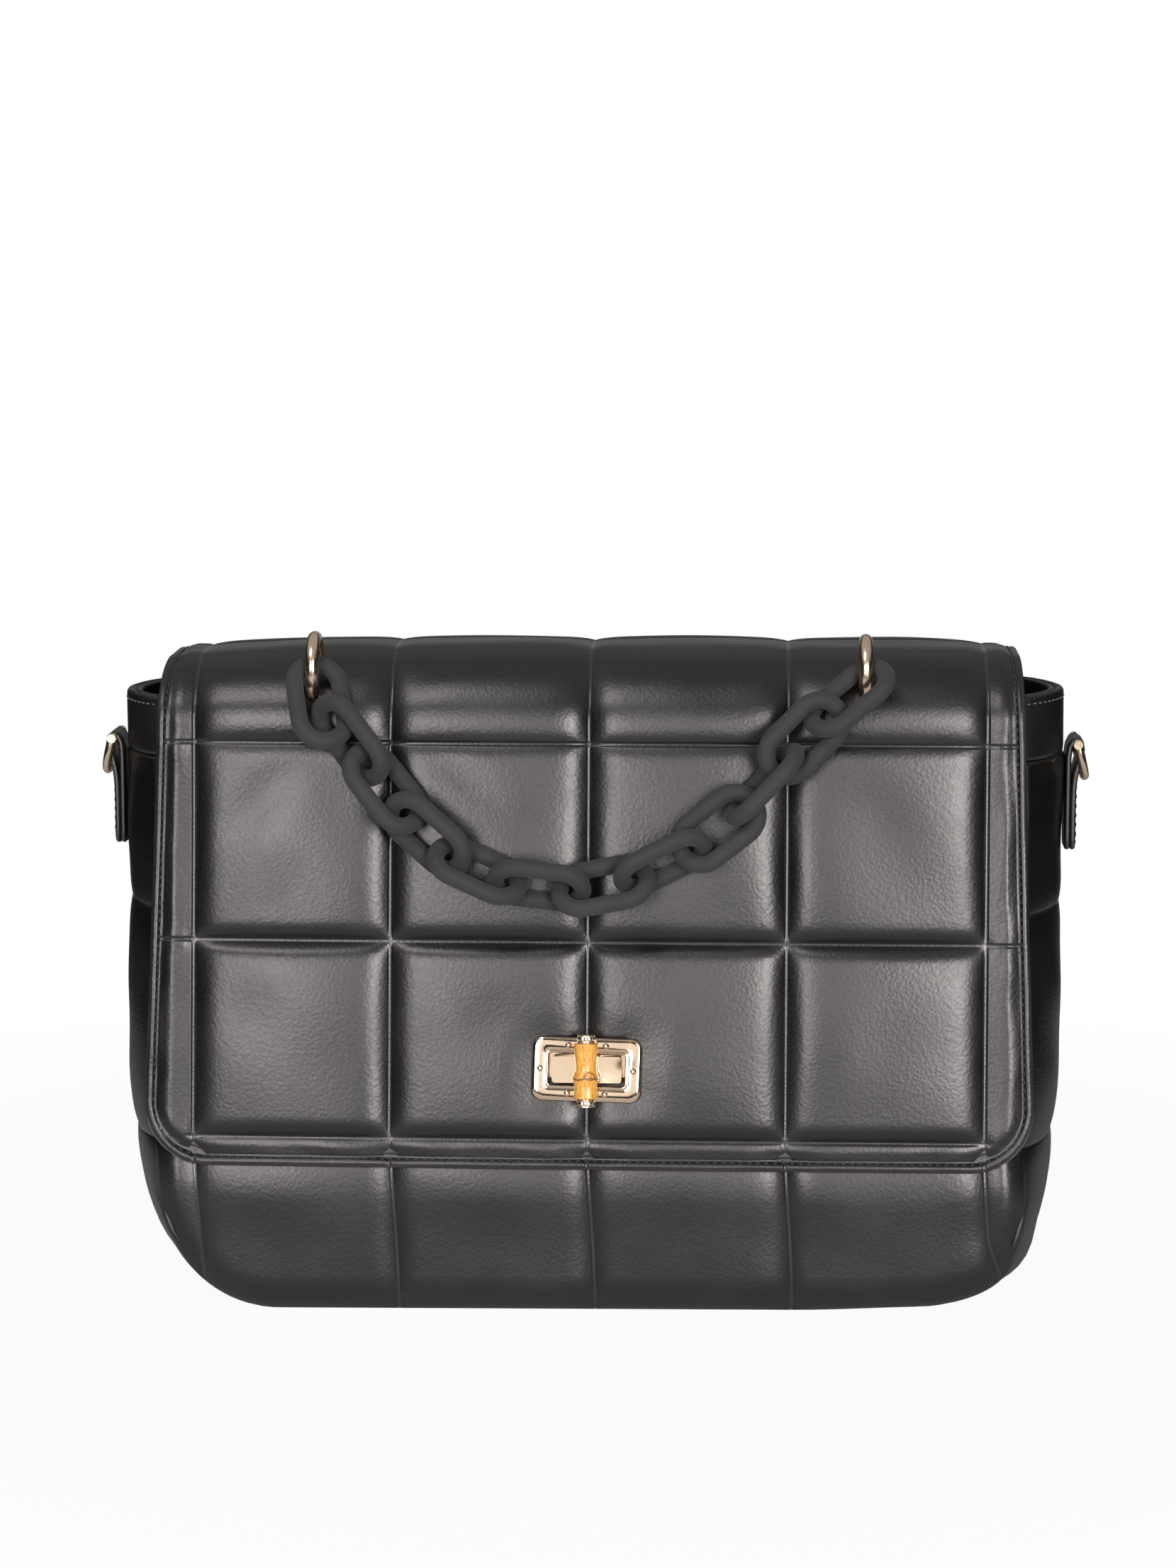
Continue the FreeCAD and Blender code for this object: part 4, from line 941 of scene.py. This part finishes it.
def flap_height(x, run, edge):
    """How far the cover stands out, where its channels are pressed and take a painted highlight, and how much
    it is rubbed.
    """
    aside = np.abs(x)
    column = np.where(aside > columns[-1], flat_strip(aside - columns[-1]), pillow(to_nearest(x, columns)))
    row_gap = to_nearest(run, flap_rows)
    row_reach = smooth(*rows_stop, aside)
    level = np.where(run < flap_rows[0], flat_strip(flap_rows[0] - run), pillow(row_gap, row_near, row_crown))
    line = 1 - smooth(channel_half, channel_lip, row_gap)
    line *= np.where(run < flap_rows[0] + pitch / 2, row_reach, smooth(*crest_rows_stop, aside))
    upper = smooth(*upper_rows, run)
    foam = column * (1 - (1 - level) * row_reach * (1 - crest_calm * upper))
    calm = 1 - crest_calm * smooth(*calm_rise, run)
    height = flap_proud - flap_depth * (1 - foam) * calm
    soft = unevenness(x, run, flap_wave, flap_wave_depth, 11)
    for place, up, wide, long, heading, depth in dents:
        c, s = math.cos(math.radians(heading)), math.sin(math.radians(heading))
        a, b = (x - place) * c + (run - up) * s, -(x - place) * s + (run - up) * c
        soft = soft - depth * np.exp(-(a / wide) ** 2 - (b / long) ** 2)
    height += soft * foam - crest_line * line * np.maximum(upper, 1 - row_reach)
    from_lock = np.abs(run - lock_run)
    lock_gap = np.hypot(np.maximum(aside - lock_bed[0], 0), np.maximum(from_lock - lock_bed[1], 0))
    bed = (flap_proud + lock_bed_sink + np.clip(soft, 0, 2)) * hump(lock_gap, lock_bed_ease)
    bead = -edge_half + (edge_half - bead_sink) * rounded(edge, bead_roll)
    bead = bead - bead_nick * (1 - np.minimum(column / lip_share, 1)) * smooth(0, bead_sink, edge)
    height = height - bed * foam - rim_sink * smooth(7.6, 3.2, edge)
    share = smooth(stitch_line - 0.3, stitch_line + 0.5, edge)
    height = bead * (1 - share) + height * share
    pucker = unevenness(x, run, pucker_size, pucker_depth, 21) * hump(edge - pucker_at, pucker_reach)
    height = height + pucker - groove_depth * hump(edge - stitch_line, groove_reach)
    thin = pared(run)
    height = height * (1 - thin) + thin * (pared_height + pared_share * np.minimum(height, 0))
    line = np.maximum(line, np.clip(1 - column / lip_share, 0, 1))
    return height, line * (1 - thin) * smooth(1.0, 4, edge), rim_wear * smooth(1.5, 0.5, edge)


def window_cells(lines_across, lines_up):
    low, high = (int(np.argmin(np.abs(lines_up - lock_run - side * window[1]))) for side in (-1, 1))
    left, right = (int(np.argmin(np.abs(lines_across - side * window[0]))) for side in (-1, 1))
    return (low, high), (left, right)


corner_line = arc((flap_side - flap_corner, flap_corner), flap_corner, -90, 0)
rising = np.linspace(flap_corner + 2, flap_end, 60)
side_line = np.stack([flap_half(rising), rising], -1)
flap_edge = np.concatenate([[(0, 0)], corner_line, side_line, [(0, flap_end)]])
window_x, window_runs = (-window[0], window[0]), (lock_run - window[1], lock_run + window[1])
flap_x = sample_lines(-flap_side, flap_side, columns, exact=window_x)
flap_runs = sample_lines(0, flap_end, flap_rows, exact=window_runs)
x, run = flap_grid(flap_x, flap_runs)
edge = edge_distance(np.abs(x), run, flap_edge)
height, pressed, rubbed = flap_height(x, run, edge)
underside = -edge_half - cover_thick * rounded(edge, tuck_roll) - pared(run) * pared_under
height = np.where(edge < 1e-6, -edge_half - pared(run) * pared_rim, height)
flap_cover = shell(
    "flap_cover", flap_spot(x, run, height), flap_spot(x, run, underside), np.stack([x, run], -1),
    {"pressed": pressed, "rubbed": rubbed}, window_cells(flap_x, flap_runs))
flap_cover.data.materials.append(quilted_leather)
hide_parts("flap", "flap_root")
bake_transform(flap_cover)


def flap_stitches(name, x, run, edge, body, *thread_sizes):
    """A row of stitches on the flap, along places of its flat pattern."""
    height = flap_height(x, run, edge)[0]
    spot = flap_spot(x, run, height)
    stitches(name, spot, flap_spot(x, run, height + 1) - spot, body, *thread_sizes)


up = np.linspace(fold_run - stitch_stop, flap_corner, 200)
left_side = np.stack([-(flap_half(up) - stitch_line), up], -1)
foot_reach = flap_side - flap_corner
left_corner = arc((-foot_reach, flap_corner), flap_corner - stitch_line, 180, 270, 40)
left = np.concatenate([left_side, left_corner])
along_foot = np.stack([np.linspace(-foot_reach, foot_reach, 200), np.full(200, stitch_line)], -1)
route = np.concatenate([left, along_foot, (left * (-1, 1))[::-1]])
route = route[np.append(np.linalg.norm(np.diff(route, axis=0), axis=1) > 1e-6, True)]
route_edge = np.full(len(route), stitch_line)
flap_stitches("flap_stitches", route[:, 0], route[:, 1], route_edge, "flap_body", 2.8, 0.36, 0.68)
sewn_x = np.linspace(-root_seam_half, root_seam_half, 200)
for i, up in enumerate((flap_end - stitch_line, flap_end - root_seam_up)):
    sewn_run, sewn_edge = np.full_like(sewn_x, up), np.full_like(sewn_x, flap_end - up)
    flap_stitches(f"flap_root_stitches_{i}", sewn_x, sewn_run, sewn_edge, "bag", 3.5, 0.34)

# Flap lining: thin plain leather on the flap's inside, cut a little smaller than the cover. It is glued
# to the cover and has the same window for the lock.
lining_end = fold_run - 5
lining_under, lining_over, lining_below = -4.1, 0.7, 0.75
lining_margin, lining_roll, lining_slack = 4.0, 0.8, 0.4
lining_x = sample_lines(-flap_side, flap_side, [], exact=window_x, coarse=6)
lining_runs = sample_lines(0, lining_end, [], exact=window_runs, coarse=5)
x, run = flap_grid(lining_x, lining_runs, lining_margin)
from_side = np.minimum(lining_x + flap_side, flap_side - lining_x)
from_end = np.minimum(lining_runs, lining_end - lining_runs)
tuck = rounded(np.minimum(from_side[None, :], from_end[:, None]), lining_roll)
slack = unevenness(x, run, 55, 0.2, 5)
glued = flap_spot(x, run, lining_under + lining_over * tuck)
shown = flap_spot(x, run, lining_under - lining_below * tuck - slack * tuck * lining_slack)
backing = shell(
    "flap_lining_sheet", glued, shown, np.stack([x, run], -1), {"pressed": x * 0, "rubbed": x * 0},
    window_cells(lining_x, lining_runs))
fit(backing, plain_leather, "flap_body", "plain_leather", "flap_lining")

# Handle rings: two round rings of gold plated wire. They pass through holes in the flap's crest and
# carry the ends of the chain.
dress(gold, "ring_left", "ring_right")

# Chain: the bag's handle, twelve moulded links with a matt rubber coat. Each is threaded through the
# next, and the last ones hang in the two rings.
matt_coat = {"Specular IOR Level": 0.3, "Sheen Weight": 0.08, "Sheen Roughness": 0.6}
rubber, shader, place = new_finish("rubber", matt_coat)
dust = noise(place, 1900, 4)
slow = noise(place, 60, 3)
rubber_dark, rubber_light = (0.033, 0.0316, 0.0306, 1), (0.047, 0.0448, 0.0436, 1)
feed(shader, Base_Color=mixed(slow * 0.7 + dust * 0.3, rubber_dark, rubber_light))
feed(shader, Roughness=0.66 + dust * 0.16, Normal=bumped(dust, 0.22, 0.0002))
dress(rubber, *(f"chain_link_{i:02d}" for i in range(1, 13)))

# Lock plates: a polished frame with a rounded profile on the flap, its rivets, and the base with its
# block on the front panel. The plates behind the leather and the spindle are plain nickel.
polished, shader, place = new_finish("polished_gold", {"Metallic": 1.0})
wave = noise(place, 64, 0)
fine = noise(place, 1800, 3)
feed(shader, Base_Color=mixed(wave, (0.9, 0.63, 0.42, 1), (0.97, 0.77, 0.57, 1)))
feed(shader, Roughness=0.09 + eased(fine, 0.5, 0.8) * 0.08, Normal=bumped(wave, 0.85, 0.0022))
dress(polished, "lock_rivets", "lock_base")

lock_height = 83
lock_lean = math.radians(1.5)
frame_half, frame_corner = (17.75, 10.5), 3.5
frame_bar, window_corner = 5.25, 1.2
# From the frame's outer edge to its window: inward, outward
frame_profile = ((0, 0), (0, 0.8), (0.1, 1.12), (0.35, 1.36), (0.8, 1.5), (1.5, 1.565), (2.5, 1.6),
                 (3.4, 1.575), (3.9, 1.5), (4.2, 1.36), (4.4, 1.36), (4.65, 1.52), (4.85, 1.56),
                 (5.05, 1.45), (5.18, 1.2), (frame_bar, 0.8), (frame_bar, 0))


def rounded_loop(inset):
    """A rectangle with round corners, inside the frame's outline by an inset."""
    corner = frame_corner + (window_corner - frame_corner) * inset / frame_bar
    wide, tall = (half - inset - corner for half in frame_half)
    middles = ((wide, -tall), (wide, tall), (-wide, tall), (-wide, -tall))
    arcs = [arc(middle, corner, 90 * i - 90, 90 * i, 13) for i, middle in enumerate(middles)]
    runs = [np.linspace(one[-1], two[0], 14)[1:-1] for one, two in zip(arcs, arcs[1:] + arcs[:1])]
    return np.concatenate([part for pair in zip(arcs, runs) for part in pair])


frame_loops = [rounded_loop(inset) for inset, _ in frame_profile]
lock_frame = ring_piece("lock_frame_plate", frame_loops, [out for _, out in frame_profile], False)
lock_out = Vector((0, -rise, lean))
lock_up = Vector((math.sin(lock_lean), math.cos(lock_lean) * lean, math.cos(lock_lean) * rise))
lock_across = lock_up.cross(lock_out)
lock_turn = Matrix((lock_across, lock_up, lock_out)).transposed().to_4x4()
lock_place = (Vector((0, -face_y(lock_height), lock_height)) + flap_out * lock_out) * MM
lock_frame.data.transform(Matrix.Translation(lock_place) @ lock_turn)
fit(lock_frame, polished, "flap_body", "gold_metal", "lock_frame")

nickel, shader, place = new_finish("nickel", {"Metallic": 1.0})
brushed = noise(place, 700, 5)
feed(shader, Base_Color=mixed(brushed, (0.5, 0.49, 0.47, 1), (0.68, 0.67, 0.65, 1)))
feed(shader, Roughness=0.26 + brushed * 0.2)
dress(nickel, "lock_back_plate", "lock_washer", "lock_spindle")

# Turn bar: a short length of varnished amber bamboo look with one knot, between two gold caps that
# are beaded round their sides.
bar_low, bar_high = (np.array(corner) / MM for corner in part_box("turn_bar"))
bar_middle = (bar_low + bar_high) / 2
bar_half = 9.0
bar_waist, bar_flare, bar_wide = 3.05, 0.6, 1.12
knot_at, knot_swell, knot_reach = -2.4, 0.76, 1.7
knot_wave, knot_radius = 0.3, 3.9
knot_score, knot_cut, knot_cut_reach = 0.32, 0.16, 0.2
bud_turns, bud_up, bud_half, bud_line = (0.35, 2.3, 4.6), 0.9, (1.7, 1.15), 0.24
bud_proud, bud_score = 0.12, 0.85
bar_end, bar_end_roll, bar_ripple = 0.3, 0.6, 0.02
cap_tall, cap_radius, cap_end, cap_end_roll = 3.0, 2.75, 0.05, 0.3
bead_count, bead_at, bead_half, bead_proud = 12, 1.55, 0.72, 0.3
pattern_radius = 3.5
bar_sides = 96
around = np.arange(bar_sides) * 2 * math.pi / bar_sides


def turned_piece(name, heights, radius, marks, node, slot, material, wide=1.0):
    """A lathe-like piece along the bar, from a radius for each height and turn. Turn 0 faces the front."""
    spoke = np.cos(around)[:, None] * (0, -rise, lean) + np.sin(around)[:, None] * (wide, 0, 0)
    points = bar_middle + heights[:, None, None] * np.array([0, lean, rise]) + radius[..., None] * spoke[None]
    faces = tube_faces(np.arange(radius.size).reshape(radius.shape))
    pattern = np.stack(np.broadcast_arrays(around[None, :] * pattern_radius, heights[:, None]), -1)
    piece = mesh_piece(name, points.reshape(-1, 3), faces, pattern.reshape(-1, 2), marks)
    fit(piece, material, "turn_lock", slot, node)


bamboo, shader, place = new_finish("bamboo", {"Coat Weight": 0.7, "Coat Roughness": 0.06}, flat=True)
streaks = noise(place.add("Mapping", {}, {"Vector": place, "Scale": (620, 60, 1)}), 5, 4)
blotch = noise(place.add("Mapping", {}, {"Vector": place, "Scale": (330, 90, 1)}), 5, 2)
scored = place.add("Attribute", {"attribute_name": "scored"}, {}, "Fac")
honey = mixed(eased(streaks, 0.3, 0.7), (0.8, 0.28, 0.03, 1), (1.0, 0.58, 0.13, 1))
honey = mixed(eased(blotch, 0.56, 0.74), honey, (0.42, 0.14, 0.015, 1))
feed(shader, Base_Color=mixed(scored * 0.95, honey, (0.1, 0.03, 0.004, 1)))
feed(shader, Roughness=0.26 + streaks * 0.16, Normal=bumped(streaks, 0.25, 0.0002))

bar_heights = np.linspace(-bar_half, bar_half, 121)
up, turn = np.meshgrid(bar_heights, around, indexing="ij")
edge_line = knot_at + knot_wave * np.sin(3 * turn + 0.6)
scoring = hump(up - edge_line, knot_score)
radius = bar_waist + bar_flare * np.abs(up / bar_half) ** 1.6 + knot_swell * hump(up - knot_at, knot_reach)
for bud in bud_turns:
    aside = (np.mod(turn - bud + math.pi, 2 * math.pi) - math.pi) * knot_radius
    outline = hump(np.hypot(aside / bud_half[0], (up - knot_at - bud_up) / bud_half[1]) - 1, bud_line)
    radius = radius + bud_proud * outline
    scoring = np.maximum(scoring, bud_score * outline)
radius = radius - knot_cut * hump(up - edge_line, knot_cut_reach) + bar_ripple * np.sin(9 * turn + 0.4 * up)
radius = radius * rounded(bar_half + bar_end - np.abs(up), bar_end_roll)
scores = {"scored": scoring.ravel()}
turned_piece("bamboo_bar", bar_heights, radius, scores, "turn_bar", "bamboo", bamboo, bar_wide)

cap_heights = np.linspace(0, cap_tall, 41)
up, turn = np.meshgrid(cap_heights, around, indexing="ij")
beads = np.sqrt(np.clip(1 - ((up - bead_at) / bead_half) ** 2, 0, 1))
beads = beads * np.abs(np.cos(bead_count / 2 * turn)) ** 0.7
low_lip, high_lip = np.exp(-(((up - 0.35) / 0.3) ** 4)), np.exp(-(((up - 2.6) / 0.28) ** 4))
radius = cap_radius + bead_proud * beads + 0.25 * low_lip + 0.2 * high_lip
radius = radius * rounded(cap_tall + cap_end - up, cap_end_roll)
for label, sign in (("top", 1), ("bottom", -1)):
    rows = slice(None, None, sign)
    turned_piece(f"bar_cap_{label}_beaded", (sign * (bar_half + cap_heights))[rows], radius[rows], {},
                 f"bar_cap_{label}", "gold_metal", gold)
